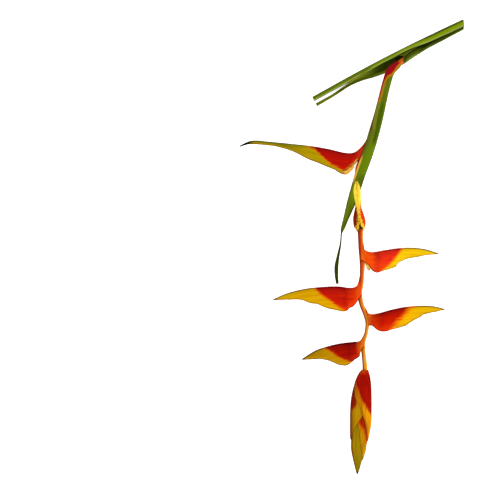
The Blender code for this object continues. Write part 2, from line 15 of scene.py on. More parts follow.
import bpy
import numpy as np
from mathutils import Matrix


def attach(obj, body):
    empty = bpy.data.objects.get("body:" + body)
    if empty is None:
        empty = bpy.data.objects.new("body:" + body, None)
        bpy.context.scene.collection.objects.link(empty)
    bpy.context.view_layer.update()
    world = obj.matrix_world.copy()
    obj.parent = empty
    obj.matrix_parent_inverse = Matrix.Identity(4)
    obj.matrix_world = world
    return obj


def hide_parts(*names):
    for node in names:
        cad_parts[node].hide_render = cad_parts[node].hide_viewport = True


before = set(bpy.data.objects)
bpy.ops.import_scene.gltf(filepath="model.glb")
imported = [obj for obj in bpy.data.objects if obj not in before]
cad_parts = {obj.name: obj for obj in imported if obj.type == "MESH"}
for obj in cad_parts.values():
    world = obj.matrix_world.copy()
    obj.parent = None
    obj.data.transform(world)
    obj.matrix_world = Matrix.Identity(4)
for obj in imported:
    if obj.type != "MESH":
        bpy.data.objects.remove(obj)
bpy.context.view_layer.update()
MM = 0.001
UP = np.array([0.0, 0.0, 1.0])

# %% [markdown]
# ## The camera
#
# The flower lies on a table and is seen from straight above, so that it has the outline of the
# hanging flower. One millimetre of the object is one pixel of a 500 pixel picture. A flat camera
# without perspective could do this. A long lens at 2.8 m is used instead, because the high parts
# then come a little closer and larger, as in any real studio picture.

# %% Camera straight above
CAMERA_HEIGHT, CAMERA_X, CAMERA_Y = 2.8, -0.1025, -0.0035
VIEW_WIDTH, STEM_HEIGHT, SENSOR_WIDTH = 0.5, 0.007, 36.0

camera_data = bpy.data.cameras.new("camera_above")
camera_data.sensor_width = SENSOR_WIDTH
camera_data.lens = SENSOR_WIDTH * (CAMERA_HEIGHT - STEM_HEIGHT) / VIEW_WIDTH
camera = bpy.data.objects.new("camera_above", camera_data)
camera.location = (CAMERA_X, CAMERA_Y, CAMERA_HEIGHT)
bpy.context.scene.collection.objects.link(camera)
bpy.context.scene.camera = camera
print("lens", round(camera_data.lens, 1), "mm")

# %% [markdown]
# ## Tools for shapes
#
# Everything here is drawn with a few numbers and then read at many places along a smooth curve.
# Splines of Blender could do this too. A function of numpy is used because the same curve then
# also gives colours and distances, which the skins need.

# %% Smooth curves


def smooth_line(points, share):
    """Rows of numbers on the smooth curve through the given rows, at each share (0 to 1) of its run.

    Each stretch is a cubic with the slopes of a Catmull-Rom curve, timed by the square root of the
    distance in the first two columns, so that it doesn't overshoot where the points lie close.
    """
    rows = np.array(points, float)
    steps = np.linalg.norm(np.diff(rows[:, :2], axis=0), axis=1)
    times = np.concatenate([[0.0], np.cumsum(np.sqrt(steps))])
    slopes = np.gradient(rows, times, axis=0)
    fine = np.linspace(0.0, times[-1], 60 * len(rows))
    span = np.clip(np.searchsorted(times, fine, side="right") - 1, 0, len(rows) - 2)
    width = np.diff(times)[span][:, None]
    t = (fine - times[span])[:, None] / width
    dense = (2 * t**3 - 3 * t**2 + 1) * rows[span] + (t**3 - 2 * t**2 + t) * width * slopes[span]
    dense += (3 * t**2 - 2 * t**3) * rows[span + 1] + (t**3 - t**2) * width * slopes[span + 1]
    run = np.concatenate([[0.0], np.cumsum(np.linalg.norm(np.diff(dense[:, :2], axis=0), axis=1))])
    wanted = np.asarray(share, float) * run[-1]
    return np.stack([np.interp(wanted, run, column) for column in dense.T], axis=-1)


def profile(values, share):
    """Values given at equal steps of 0 to 1, read at each share of the way with rounded corners."""
    rows = np.stack([np.linspace(0.0, 1.0, len(values)), np.array(values, float)], axis=1)
    dense = smooth_line(rows, np.linspace(0.0, 1.0, 300))
    return np.interp(share, dense[:, 0], dense[:, 1])


print("half way along a bend:", smooth_line([(0, 0), (10, 0), (10, 10)], 0.5).round(1))

# %% [markdown]
# Plants are full of slow changes and small irregularities. A soft step fades one thing into
# another, a wave of a few sines makes an edge look grown, and the distance from a border tells
# where one colour ends. A random number for each point would be noise, not growth, so a wave only
# draws where its sines start, from a seed that is written down.

# %% Soft steps, waves and borders


def ease(low, high, value):
    """0 below low, 1 above high, and between them t * t * (3 - 2 t), a soft step."""
    t = np.clip((value - low) / (high - low), 0.0, 1.0)
    return t * t * (3.0 - 2.0 * t)


def waver(value, length, seed):
    """An irregular wave of about -1 to 1: three sines of lengths 1, 0.61 and 0.37, with seeded phases."""
    phase = np.random.default_rng(seed).uniform(0.0, 2 * pi, 3)
    return sum(
        weight * np.sin(2 * pi * value / (length * part) + shift)
        for weight, part, shift in zip((0.5, 0.3, 0.2), (1.0, 0.61, 0.37), phase)
    )


def beyond(points, border):
    """How far each point (x, y) is from a smooth border, positive on the left as the border runs.

    It is the distance to the nearest straight stretch of the border, with the sign of the cross
    product of the stretch and the way to the point. The two ends are drawn out a long way.
    """
    line = smooth_line(border, np.linspace(0.0, 1.0, 48))
    first, last = line[0] - line[1], line[-1] - line[-2]
    line = np.concatenate([[line[0] + 60 * first], line, [line[-1] + 60 * last]])
    start, way = line[:-1], np.diff(line, axis=0)
    to_point = points[..., None, :] - start
    t = np.clip((to_point * way).sum(-1) / (way**2).sum(-1), 0.0, 1.0)
    away = np.linalg.norm(to_point - t[..., None] * way, axis=-1)
    nearest = away.argmin(axis=-1)[..., None]
    turn = way[:, 0] * to_point[..., 1] - way[:, 1] * to_point[..., 0]
    side = np.sign(np.take_along_axis(turn, nearest, -1))
    return (np.take_along_axis(away, nearest, -1) * side)[..., 0]


print("soft step half way:", ease(0.0, 1.0, 0.5))

# %% [markdown]
# ## From grids to meshes
#
# A blade has an outer face, an inner face and a rounded edge between them. A flat sheet with a
# Solidify modifier would have square edges. If the points of one cross-section are listed once
# round the blade instead, they are a ring, and a row of rings is a closed skin with round edges.
# The same mesh function then serves the round stem, whose rings are plain circles. A face that is
# wrong side out would render dark, so the function measures the volume and turns all the faces if
# it comes out negative.

# %% Rings of a blade
EDGE_STEPS = 4
EDGE_SHARE = np.linspace(0.0, 1.0, EDGE_STEPS + 2)[1:-1]
TINY = 1e-9


def blade_rings(outer, inner):
    """Closed rings from two grids of points: outer face, half round edge, inner face back, edge.

    An edge point is the middle of the two faces' edges plus the cosine of an angle times half the
    thickness, plus its sine times as much in the blade's own direction.
    """
    angle = (pi * EDGE_SHARE)[None, :, None]

    def edge(face, before, back):
        half = (face - back) / 2
        thick = np.linalg.norm(half, axis=1, keepdims=True) + TINY
        out = face - before
        out -= half * ((out * half).sum(1, keepdims=True) / thick**2)
        out /= np.linalg.norm(out, axis=1, keepdims=True) + TINY
        middle = ((face + back) / 2)[:, None]
        return middle + half[:, None] * np.cos(angle) + (out * thick)[:, None] * np.sin(angle)

    right = edge(outer[:, -1], outer[:, -2], inner[:, -1])
    left = edge(outer[:, 0], outer[:, 1], inner[:, 0])[:, ::-1]
    return np.concatenate([outer, right, inner[:, ::-1], left], axis=1)


def blade_values(outer, inner=None):
    """A value of each point in the same order as the rings, blended along the rounded edges."""
    inner = outer if inner is None else inner
    right = outer[:, -1:] * (1 - EDGE_SHARE) + inner[:, -1:] * EDGE_SHARE
    left = outer[:, :1] * EDGE_SHARE + inner[:, :1] * (1 - EDGE_SHARE)
    return np.concatenate([outer, right, inner[:, ::-1], left], axis=1)


def blade_ends(rows, columns):
    """The faces that close both ends of a blade: strips from the outer to the inner face."""
    size = 2 * (columns + EDGE_STEPS)
    out = np.arange(columns)
    back = columns + EDGE_STEPS + (columns - 1 - out)
    cap = [[out[j], out[j + 1], back[j + 1], back[j]] for j in range(columns - 1)]
    cap += [list(range(columns - 1, columns + EDGE_STEPS + 1)), [*range(back[0], size), 0]]
    first = [[int(k) for k in face] for face in cap]
    return first + [[k + (rows - 1) * size for k in face[::-1]] for face in first]


def round_ends(rows, columns):
    """The faces that close both ends of a tube, each one many-sided face."""
    first = list(range(columns))
    return [first, [k + (rows - 1) * columns for k in first[::-1]]]


print("points round a rounded edge:", EDGE_STEPS)

# %% [markdown]
# The UV map of a piece says how far along it and how far across it a point is. Patterns such as
# veins then follow the bend of a bract, which no pattern fixed in space could do. The map could be
# unwrapped by Blender, but here both distances are known before there is a mesh.

# %% The faces and the map of rings


def run_of(path):
    """How far along a path each of its points is: the sum of the steps before it."""
    return np.concatenate([[0.0], np.cumsum(np.linalg.norm(np.diff(path, axis=0), axis=1))])


def ring_sides(rows, columns):
    """The four-sided faces between neighbouring rings, and the row and column that each starts from."""
    i, j = np.meshgrid(np.arange(rows - 1), np.arange(columns), indexing="ij")
    k = (j + 1) % columns
    sides = np.stack([i * columns + j, (i + 1) * columns + j, (i + 1) * columns + k, i * columns + k], -1)
    return sides.reshape(-1, 4), i, j


def inside_out(points, sides):
    """True if the faces point inwards: the signed volumes of their triangles from the origin add up
    to less than nothing."""
    corners = points[sides]
    volume = np.einsum("ij,ij->i", corners[:, 0], np.cross(corners[:, 1], corners[:, 2]))
    volume += np.einsum("ij,ij->i", corners[:, 0], np.cross(corners[:, 2], corners[:, 3]))
    return volume.sum() < 0


def ring_uv(rings, across, i, j, ends):
    """The run along the rings' middles and the distance across, for every corner of every face."""
    rows, columns = rings.shape[:2]
    run = run_of(rings.mean(axis=1))
    width = across if across.ndim == 2 else np.broadcast_to(across, (rows, len(across)))
    closed = np.concatenate([width, width[:, :1]], axis=1) if width.shape[1] == columns else width
    along = np.stack([run[i], run[i + 1], run[i + 1], run[i]], -1)
    beside = np.stack([closed[i, j], closed[i + 1, j], closed[i + 1, j + 1], closed[i, j + 1]], -1)
    end_points = np.concatenate([np.array(face) for face in ends])
    uv_ends = np.stack([run[end_points // columns], width[end_points // columns, end_points % columns]], -1)
    return np.stack([along, beside], -1).reshape(-1, 4, 2), uv_ends


print("sides between 3 rings of 4 points:", len(ring_sides(3, 4)[0]))

# %% [markdown]
# Every piece of the flower is made by the next function. Besides its shape and its map, the mesh
# keeps numbers for each of its points, such as the distance from the lip, and its skin reads them
# later. They could be painted on as weights, but distances that are worked out are exact. Each
# piece then takes the place of its node, rides on the flower's one body and gets its finish.

# %% The mesh of a piece
SHARP, UV_UNIT = radians(50.0), 100.0


def skin_mesh(name, rings, ends, across, skins, **values):
    """A smooth closed mesh through rings of points in millimetres.

    Values are kept as attributes of the points. The ends take the second skin, if there is one.
    """
    rows, columns = rings.shape[:2]
    points = rings.reshape(-1, 3)
    sides, i, j = ring_sides(rows, columns)
    turn = -1 if inside_out(points, sides) else 1
    ends = [face[::turn] for face in ends]
    mesh = bpy.data.meshes.new(name)
    mesh.from_pydata(points * MM, [], sides[:, ::turn].tolist() + ends)
    uv_sides, uv_ends = ring_uv(rings, across, i, j, ends)
    uv = np.concatenate([uv_sides[:, ::turn].reshape(-1, 2), uv_ends]) / UV_UNIT
    mesh.uv_layers.new(name="skin").data.foreach_set("uv", uv.astype(np.float32).ravel())
    for label, value in values.items():
        attribute = mesh.attributes.new(label, "FLOAT", "POINT")
        grid = np.broadcast_to(value, (rows, columns)).astype(np.float32)
        attribute.data.foreach_set("value", grid.ravel())
    for skin in skins:
        mesh.materials.append(skin)
    slots = np.zeros(len(mesh.polygons), np.int32)
    slots[len(sides):] = len(skins) - 1
    mesh.polygons.foreach_set("material_index", slots)
    mesh.shade_smooth()
    mesh.set_sharp_from_angle(angle=SHARP)
    mesh.validate()
    made = bpy.data.objects.new(name, mesh)
    bpy.context.scene.collection.objects.link(made)
    return made


def blade_mesh(name, outer, inner, across, skins, **values):
    """A blade as one closed skin from the grids of its two faces.

    Values of the outer face's points become attributes, and "inside" is 1 on the inner face.
    """
    flat = np.zeros(outer.shape[:2])
    kept = {label: blade_values(value + flat) for label, value in values.items()}
    kept["inside"] = blade_values(flat, flat + 1.0)
    return skin_mesh(name, blade_rings(outer, inner), blade_ends(*flat.shape), blade_values(across), skins,
                     **kept)


def tube_mesh(name, rings, across, skins, **values):
    """A round piece as one closed skin, with one many-sided face at each end."""
    return skin_mesh(name, rings, round_ends(*rings.shape[:2]), across, skins, **values)


def dress(piece, node):
    """The piece takes the place of its node, which is hidden, and rides on the flower's one body."""
    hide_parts(node)
    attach(piece, "root")
    print(f"{piece.name}: {len(piece.data.polygons)} faces for {node}")


print("edges that turn by more than", round(SHARP * 180 / pi), "degrees stay sharp")

# %% [markdown]
# ## Tools for skins
#
# A skin is a material. Plant skins are never one colour: the colour runs along the veins, which
# are stretched noise, and it changes across a border that the veins make ragged. Colours are given
# as they look in the studio light, on the usual scale of 0 to 255, and are turned into the share of
# light that the skin throws back.
#
# Nodes could be wired by hand, one call for each. Here a small class stands for a number that the
# shader works out, so that a sum such as border + (noise - 0.5) * 12 is written as it is thought.

# %% Colours and values
LIGHT_LEVEL, BRIGHTEST = 2.0, 0.95


def colour(red, green, blue):
    """A colour as it looks in the studio light, as a share of light: the screen curve undone."""
    seen = np.array([red, green, blue], float) / 255.0
    linear = np.where(seen <= 0.04045, seen / 12.92, ((seen + 0.055) / 1.055) ** 2.4)
    return (*np.clip(linear / LIGHT_LEVEL, 0.0, BRIGHTEST), 1.0)


class Value:
    """A number or colour that a shader works out at each point. Sums and steps of it add nodes."""

    def __init__(self, nodes, socket):
        self.nodes, self.socket = nodes, socket

    def maths(self, operation, other):
        return self.nodes.add("Math", {0: self, 1: other}, operation=operation)

    def __add__(self, other):
        return self.maths("ADD", other)

    def __sub__(self, other):
        return self.maths("SUBTRACT", other)

    def __mul__(self, other):
        return self.maths("MULTIPLY", other)

    def step(self, low, high):
        """A soft step from 0 at the first number to 1 at the second, which may be the lower one."""
        reach = {"Value": self, "From Min": low, "From Max": high}
        return self.nodes.add("MapRange", reach, interpolation_type="SMOOTHSTEP", clamp=True)

    def between(self, start, end, rise, fall=None):
        """1 between two numbers and 0 beyond them, rising and falling over the given lengths."""
        return self.step(start, start + rise) * self.step(end, end - (fall or rise))


print("screen red 200 is", round(colour(200, 0, 0)[0], 3), "of the light")

# %% [markdown]
# The nodes that every skin needs are given short names: noise along the veins, even noise, a mix,
# layers of colour over each other, and a ramp.

# %% Words for nodes


class Nodes:
    """A node tree with plain words for the nodes that skins are made of."""

    def __init__(self, tree):
        self.tree = tree

    def add(self, kind, inputs=(), out=0, **settings):
        """Adds a shader node, makes its settings, fills its inputs and gives one of its outputs."""
        node = self.tree.nodes.new("ShaderNode" + kind)
        for label, value in settings.items():
            setattr(node, label, value)
        for label, value in dict(inputs).items():
            if isinstance(value, Value):
                self.tree.links.new(value.socket, node.inputs[label])
            else:
                node.inputs[label].default_value = value
        return Value(self, node.outputs[out])

    def held(self, label):
        """An attribute that the mesh keeps for each of its points."""
        return self.add("Attribute", out="Fac", attribute_name=label)

    def veins(self, along=6.0, across=220.0, detail=3.0):
        """Noise drawn out along the blade: few waves along it and many across it, per 100 mm."""
        place = self.add("Mapping", {"Vector": self.add("UVMap", uv_map="skin"),
                                     "Scale": (along, across, 1.0)})
        return self.add("TexNoise", {"Vector": place, "Scale": 1.0, "Detail": detail, "Roughness": 0.6})

    def mottle(self, scale):
        """Even noise in space, with its scale in waves per metre."""
        place = self.add("TexCoord", out="Object")
        return self.add("TexNoise", {"Vector": place, "Scale": scale, "Detail": 4.0, "Roughness": 0.55})

    def mix(self, share, first, second):
        """The first colour where the share is 0 and the second where it is 1."""
        paints = [paint if isinstance(paint, Value) else colour(*paint) for paint in (first, second)]
        inputs = {0: share, 6: paints[0], 7: paints[1]}
        return self.add("Mix", inputs, out=2, data_type="RGBA", clamp_factor=True)

    def layers(self, paint, *over):
        """A colour with others laid over it in turn, each by its own share."""
        for share, tone in over:
            paint = self.mix(share, paint, tone)
        return paint

    def ramp(self, value, stops):
        """Colours at places from 0 to 1, mixed between them."""
        result = self.add("ValToRGB", {0: value})
        elements = result.socket.node.color_ramp.elements
        while len(elements) < len(stops):
            elements.new(0.5)
        for element, (place, paint) in zip(elements, stops):
            element.position = place
            element.color = colour(*paint)
        return result


print("words for nodes:", [word for word in vars(Nodes) if not word.startswith("_")])

# %% [markdown]
# The wax on a fresh flower is thin and its gloss is wide. A coat that shines like a mirror would
# make it look like plastic, so every skin starts with some roughness and a faint coat, and changes
# only what differs. Relief that is too fine for the mesh, such as veins, is a bump.

# %% The start of every skin


class Skin(Nodes):
    """A waxy Principled material while it is being made."""

    def __init__(self, name, shine=0.42, coat=0.02):
        self.material = bpy.data.materials.new(name)
        self.material.use_nodes = True
        super().__init__(self.material.node_tree)
        self.shader = self.tree.nodes["Principled BSDF"]
        self.set("Roughness", shine)
        self.set("Coat Weight", coat)
        self.set("Coat Roughness", 0.3)
        self.set("Specular IOR Level", 0.0)

    def set(self, label, value):
        """Sets one of the shader's own numbers or colours, or joins a worked out value to it."""
        if isinstance(value, Value):
            self.tree.links.new(value.socket, self.shader.inputs[label])
        else:
            self.shader.inputs[label].default_value = value

    def done(self, paint, height, strength, depth):
        """The material with its colour, and a value that raises its surface by a depth in metres."""
        self.set("Base Color", paint)
        self.set("Normal", self.add("Bump", {"Height": height, "Strength": strength, "Distance": depth}))
        return self.material


print("words for skins:", [word for word in vars(Skin) if not word.startswith("_")])

# %% [markdown]
# ## The flower stem
#
# The stem leaves the split sheath at the knee, runs under the leafy bract and bends a little at
# each node, where a bract grows out of it. It could be a curve object with a bevel. Here it is a
# row of circles carried along a smooth line, because the bracts must know where its surface is.
# Rows of numbers are x, y, the height of the centre and the radius, in millimetres.

# %% The stem's line
STEM = [
    (109.4, 219.6, 5.9, 2.5), (87.0, 208.9, 5.9, 2.5), (67.0, 198.5, 6.0, 2.6), (57.5, 192.7, 6.6, 2.7),
    (50.9, 186.7, 8.3, 2.7), (44.6, 181.4, 10.1, 2.8), (37.8, 175.0, 10.5, 2.8), (33.9, 163.0, 9.6, 2.85),
    (30.3, 148.5, 8.2, 2.9), (26.3, 132.0, 7.0, 3.0), (21.5, 115.0, 6.5, 3.2), (14.8, 97.0, 6.4, 3.3),
    (7.4, 79.0, 6.3, 4.1), (6.2, 70.0, 6.3, 3.8), (5.4, 60.0, 6.3, 3.1), (5.8, 42.0, 6.3, 3.1),
    (7.6, 24.0, 6.3, 3.3), (8.1, 10.0, 6.3, 2.7), (8.5, -1.0, 6.3, 2.6), (9.7, -12.0, 6.3, 2.8),
    (9.7, -25.0, 6.3, 2.4), (8.9, -37.0, 6.3, 2.3), (7.4, -47.0, 6.3, 2.5), (9.2, -58.0, 6.3, 2.3),
    (12.5, -66.5, 6.3, 2.3), (14.9, -75.5, 6.3, 2.1), (13.7, -86.5, 6.3, 1.9), (10.8, -97.0, 6.3, 2.1),
    (11.5, -110.0, 6.3, 2.2), (12.5, -120.0, 6.3, 2.5), (12.5, -127.5, 6.3, 2.7),
]
stem_dense = smooth_line(STEM, np.linspace(0.0, 1.0, 900))


def stem_at(y):
    """The stem's centre x, centre height and radius at each y, which only falls along the stem."""
    rows = stem_dense[::-1]
    return [np.interp(y, rows[:, 1], rows[:, k]) for k in (0, 2, 3)]


def path_axes(path):
    """The unit directions along a path, to its right and up, from its slopes and the vertical."""
    along = np.gradient(path, axis=0)
    along /= np.linalg.norm(along, axis=1)[:, None]
    right = np.cross(UP, along)
    right /= np.linalg.norm(right, axis=1)[:, None]
    return along, right, np.cross(along, right)


def round_rings(path, axis_1, axis_2, radius, sides, lobes):
    """Circles round a path. Each radius is multiplied by one plus the lobes' height times the cosine
    of the angle times their count."""
    height, count = lobes
    angle = np.linspace(0.0, 2 * pi, sides, endpoint=False)[None, :, None]
    radius = radius[:, None, None] * (1.0 + height * np.cos(count * angle))
    return path[:, None] + radius * (axis_1[:, None] * np.cos(angle) + axis_2[:, None] * np.sin(angle))


print("stem length in mm:", round(run_of(stem_dense[:, :3])[-1]))

# %% [markdown]
# The stem is waxy. It is orange-red by the upper bracts and turns yellow towards the bud, crimson
# at the knee and pale green inside the sheath. It could be painted by hand, but a colour ramp along
# the object's Y axis gives it from a few places, and fine veins along the stem break it up. Painted
# shade darkens its left side and painted light pales its right side, so the mesh keeps how far left
# each point lies. Where the stem was cut, the flesh is pale and moist with the darker ends of many fibres.

# %% The stem's skin
STEM_COLOURS = [
    (-128, (220, 142, 26)), (-112, (222, 144, 36)), (-96, (206, 122, 20)), (-84, (218, 142, 46)),
    (-66, (220, 124, 30)), (-52, (214, 96, 20)), (-38, (224, 78, 14)), (-14, (216, 58, 10)),
    (4, (196, 48, 10)), (22, (206, 58, 16)), (60, (222, 78, 20)), (100, (196, 40, 14)),
    (150, (172, 30, 20)), (176, (190, 50, 24)), (182, (204, 86, 22)), (190, (192, 96, 24)),
    (196, (150, 150, 50)), (216, (176, 186, 96)),
]


def cut_skin(name, flesh, ring):
    """Freshly cut stalk: moist flesh with the darker ends of many fibres, cells of even size."""
    skin = Skin(name, shine=0.35, coat=0.1)
    cells = {"Vector": skin.add("TexCoord", out="Object"), "Scale": 1500.0}
    dots = skin.add("TexVoronoi", cells, out="Distance").step(0.22, 0.42)
    paint = skin.layers(ring, (dots, flesh), (skin.mottle(400.0), flesh))
    return skin.done(paint, dots, 0.4, 0.0002)


def stem_skin():
    """Waxy stem: a ramp of colours down the stem, veins along it, painted shade on its left side and
    painted light on its right side.
    """
    skin = Skin("waxy stem", shine=0.38)
    down = skin.add("SeparateXYZ", {0: skin.add("TexCoord", out="Object")}, out="Y")
    low, high = STEM_COLOURS[0][0], STEM_COLOURS[-1][0]
    where = skin.add("MapRange", {"Value": down, "From Min": low * MM, "From Max": high * MM})
    streak = skin.veins(5.0, 160.0)
    left = skin.held("left") + (streak - 0.5) * 1.2
    paint = skin.layers(
        skin.ramp(where, [((y - low) / (high - low), paint) for y, paint in STEM_COLOURS]),
        # painted shade: the stem's left side darkened to a deep red
        (left.step(0.15, 0.75) * 0.9, (118, 18, 6)),
        # painted light: the stem's right side paled to a light orange
        (left.step(-0.1, -0.75) * 0.7, (255, 176, 70)),
        (streak.step(0.45, 0.7) * 0.22, (250, 156, 56)),
    )
    return skin.done(paint, streak, 0.25, 0.0002)


print("colours down the stem:", len(STEM_COLOURS))

# %% Make the stem
STEM_ROWS, STEM_SIDES, STEM_LOBES = 520, 40, (0.012, 9)
SIDE_SHADE_FADE_START, SIDE_SHADE_FADE_END, SIDE_SHADE_FADE_SHARE, FIBRE_WIDTH = 50.0, 75.0, 0.6, 2.8
stem_rows = smooth_line(STEM, np.linspace(0.0, 1.0, STEM_ROWS))
stem_path, stem_radius = stem_rows[:, :3], stem_rows[:, 3]
_, stem_right, stem_up = path_axes(stem_path)
stem_angle = np.linspace(0.0, 2 * pi, STEM_SIDES + 1)
stem_rings = round_rings(stem_path, -stem_up, stem_right, stem_radius, STEM_SIDES, STEM_LOBES)
# how far left each point lies, for the stem's painted shade and painted light, weaker above 75 mm towards
# the knee
leftness_for_painted_shade = -np.sin(stem_angle[:-1]) * (1.0 - SIDE_SHADE_FADE_SHARE * ease(SIDE_SHADE_FADE_START, SIDE_SHADE_FADE_END, stem_path[:, 1:2]))
stem_skins = [stem_skin(), cut_skin("cut stem", (214, 206, 140), (150, 150, 70))]
stem = tube_mesh("waxy_stem", stem_rings, FIBRE_WIDTH * stem_angle, stem_skins, left=leftness_for_painted_shade)
dress(stem, "flower_stem")

# %% [markdown]
# ## The open bracts
#
# An open bract is a boat: one blade folded along its keel, with its two lips close together and its
# tip drawn out to a beak. It is drawn by two lines in its own plane, the keel and the lip, and by
# how thick the boat is between them. Sculpting would give one such shape. A function gives all six
# from their own numbers, and at the base it lets the blade grow flush out of the stem and clasp it.
#
# Each bract has a plane. Those at the sides lie nearly flat, tilted a little towards the surface.
# The second one points up at the viewer instead, so it has a rise and a sway.

# %% The plane and the section of a boat
DOWN_POWER = 1.4


def bract_axes(bract):
    """The bract's own axes as rows: x outwards from the stem, y towards its keel, z across it."""
    if "rise" in bract:
        rise, sway = radians(bract["rise"]), radians(bract["sway"])
        outwards = np.array([-sin(sway) * cos(rise), cos(sway) * cos(rise), sin(rise)])
        across = np.array([-cos(sway), -sin(sway), 0.0])
    else:
        tilt = radians(bract["tilt"])
        outwards = np.array([bract["side"] * cos(tilt), 0.0, sin(tilt)])
        across = np.cross(outwards, [0.0, 1.0, 0.0])
    return np.stack([outwards, np.cross(across, outwards), across])


def boat_section(down, pinch):
    """How far out the boat's side is at each share of the way from keel to lip, of half its width.

    One minus a power up to half way gives the rounded keel, then it falls by a square to the lip.
    """
    rise = np.sqrt(1.0 - (1.0 - np.clip(down / 0.5, 0.0, 1.0)) ** 2.2)
    fall = np.clip((down - 0.5) / 0.5, 0.0, 1.0)
    return rise * (1.0 - (1.0 - pinch) * fall**2)


def boat_lines(bract, u, v):
    """The keel, the lip and the depth between them at each u, and the share of the way down to the
    lip: the distance of v from the middle to a power, which crowds the rows round the keel."""
    keel, lip = smooth_line(bract["keel"], u), smooth_line(bract["lip"], u)
    return keel, lip, np.linalg.norm(lip - keel, axis=-1), np.abs(v) ** DOWN_POWER


print("a boat's section from keel to lip:", boat_section(np.linspace(0.0, 1.0, 5), 0.9).round(2))

# %% [markdown]
# Lips of real bracts are frilled, and each waves in its own way. The waves come from seeded sines,
# so that every run of this script gives the same flower. They fade out towards the stem and the
# tip. At the base the blade blends into the stem's own surface, and where it would dip below the
# table it is pressed flat, as a cut flower's bracts are.

# %% The boat's shape
FRILL_FROM, FRILL_FULL, FRILL_END, FRILL_SWAY = 0.06, 0.2, 0.1, 0.12
SUNK, FOOT_SHARE, WALL_LIMIT, LIP_SOONER = 0.2, 0.3, 0.45, 0.7


def frill(bract, u, v, down):
    """The lips' waves in the bract's plane and across it, in mm.

    Each is the frill's height times a wave of the run, seeded for each lip, times a power of the
    share down to the lip, which leaves the keel straight.
    """
    height, pitch = bract["frill"]
    wave = [waver(100.0 * u, pitch, bract["seed"] + k) for k in range(5)]
    lips = [np.where(v > 0, wave[0], wave[1]), np.where(v > 0, wave[2], wave[3])]
    start = ease(FRILL_FROM, FRILL_FULL, u)
    in_plane = height * lips[0] * down**6 * start
    sway = height * wave[4] * np.sign(v) + FRILL_SWAY * height * lips[1]
    return in_plane, sway * down**3 * start * ease(0.0, FRILL_END, 1.0 - u)


def boat(bract, u, v, wall):
    """Points of one face of a bract. u runs from base to tip, v from one lip (-1) over the keel (0)
    to the other (1), and the wall is how far this face lies inside the outer one.

    In the bract's plane a point is the keel plus its share of the way to the lip. Across the plane
    it is half the thickness times the boat's section. At the base that blends into the half width
    of the stem at the same place, and the blade is kept off the stem by a lift that grows from
    nothing, so that it looks grown out of it.
    """
    keel, lip, depth, down = boat_lines(bract, u, v)
    inwards = (lip - keel) / depth[..., None]
    frill_in_plane, frill_across = frill(bract, u, v, down)
    fold = np.minimum(wall, WALL_LIMIT * depth) * (1.0 - down) + depth * down
    flat = keel + inwards * (fold + frill_in_plane)[..., None]
    half = profile(bract["thickness"], u) - wall
    side = half * boat_section(down, profile(bract["pinch"], u)) + frill_across

    turn = bract_axes(bract)
    at_keel = flat @ turn[:2] + bract["node"]
    stem_x, stem_z, stem_r = stem_at(at_keel[..., 1])
    off = np.hypot(at_keel[..., 0] - stem_x, at_keel[..., 2] - stem_z)
    on_stem = np.sqrt(np.maximum((stem_r - SUNK) ** 2 - off**2, 0.0))
    grown = ease(0.0, bract["grow"] * (1.0 - LIP_SOONER * down), u)
    points = at_keel + (np.sign(v) * (on_stem * (1.0 - grown) + side * grown))[..., None] * turn[2]

    lift = stem_r - SUNK + grown * (1.0 - wall)
    x, z = points[..., 0] - stem_x, points[..., 2] - stem_z
    away = np.hypot(x, z) + TINY
    push = np.where((u < FOOT_SHARE) & (away < lift), lift / away, 1.0)
    points[..., 0] = stem_x + x * push
    points[..., 2] = np.maximum(stem_z + z * push, wall)
    return points, flat


print("the frill grows over", round(FRILL_FULL - FRILL_FROM, 2), "of a blade")

# %% [markdown]
# Now the numbers of each bract. They could come from a scan. A few points on each line are enough,
# because the curve through them is smooth, and they can be changed by hand. Keel, lip and border
# are pairs in the bract's plane: how far out from the node, and how far towards the keel's side.
# Thickness is half the boat's width at equal steps from base to tip, and pinch the share of it that
# is left at the lips. The border is where red turns to yellow. It starts at the keel and has the
# yellow side on its left, where distances beyond it are positive. Lop moves it further on one cheek
# than on the other. Frill is the height of the lips' waves in mm and their length in hundredths of
# the blade's, and grow the share of the blade over which it leaves the stem.

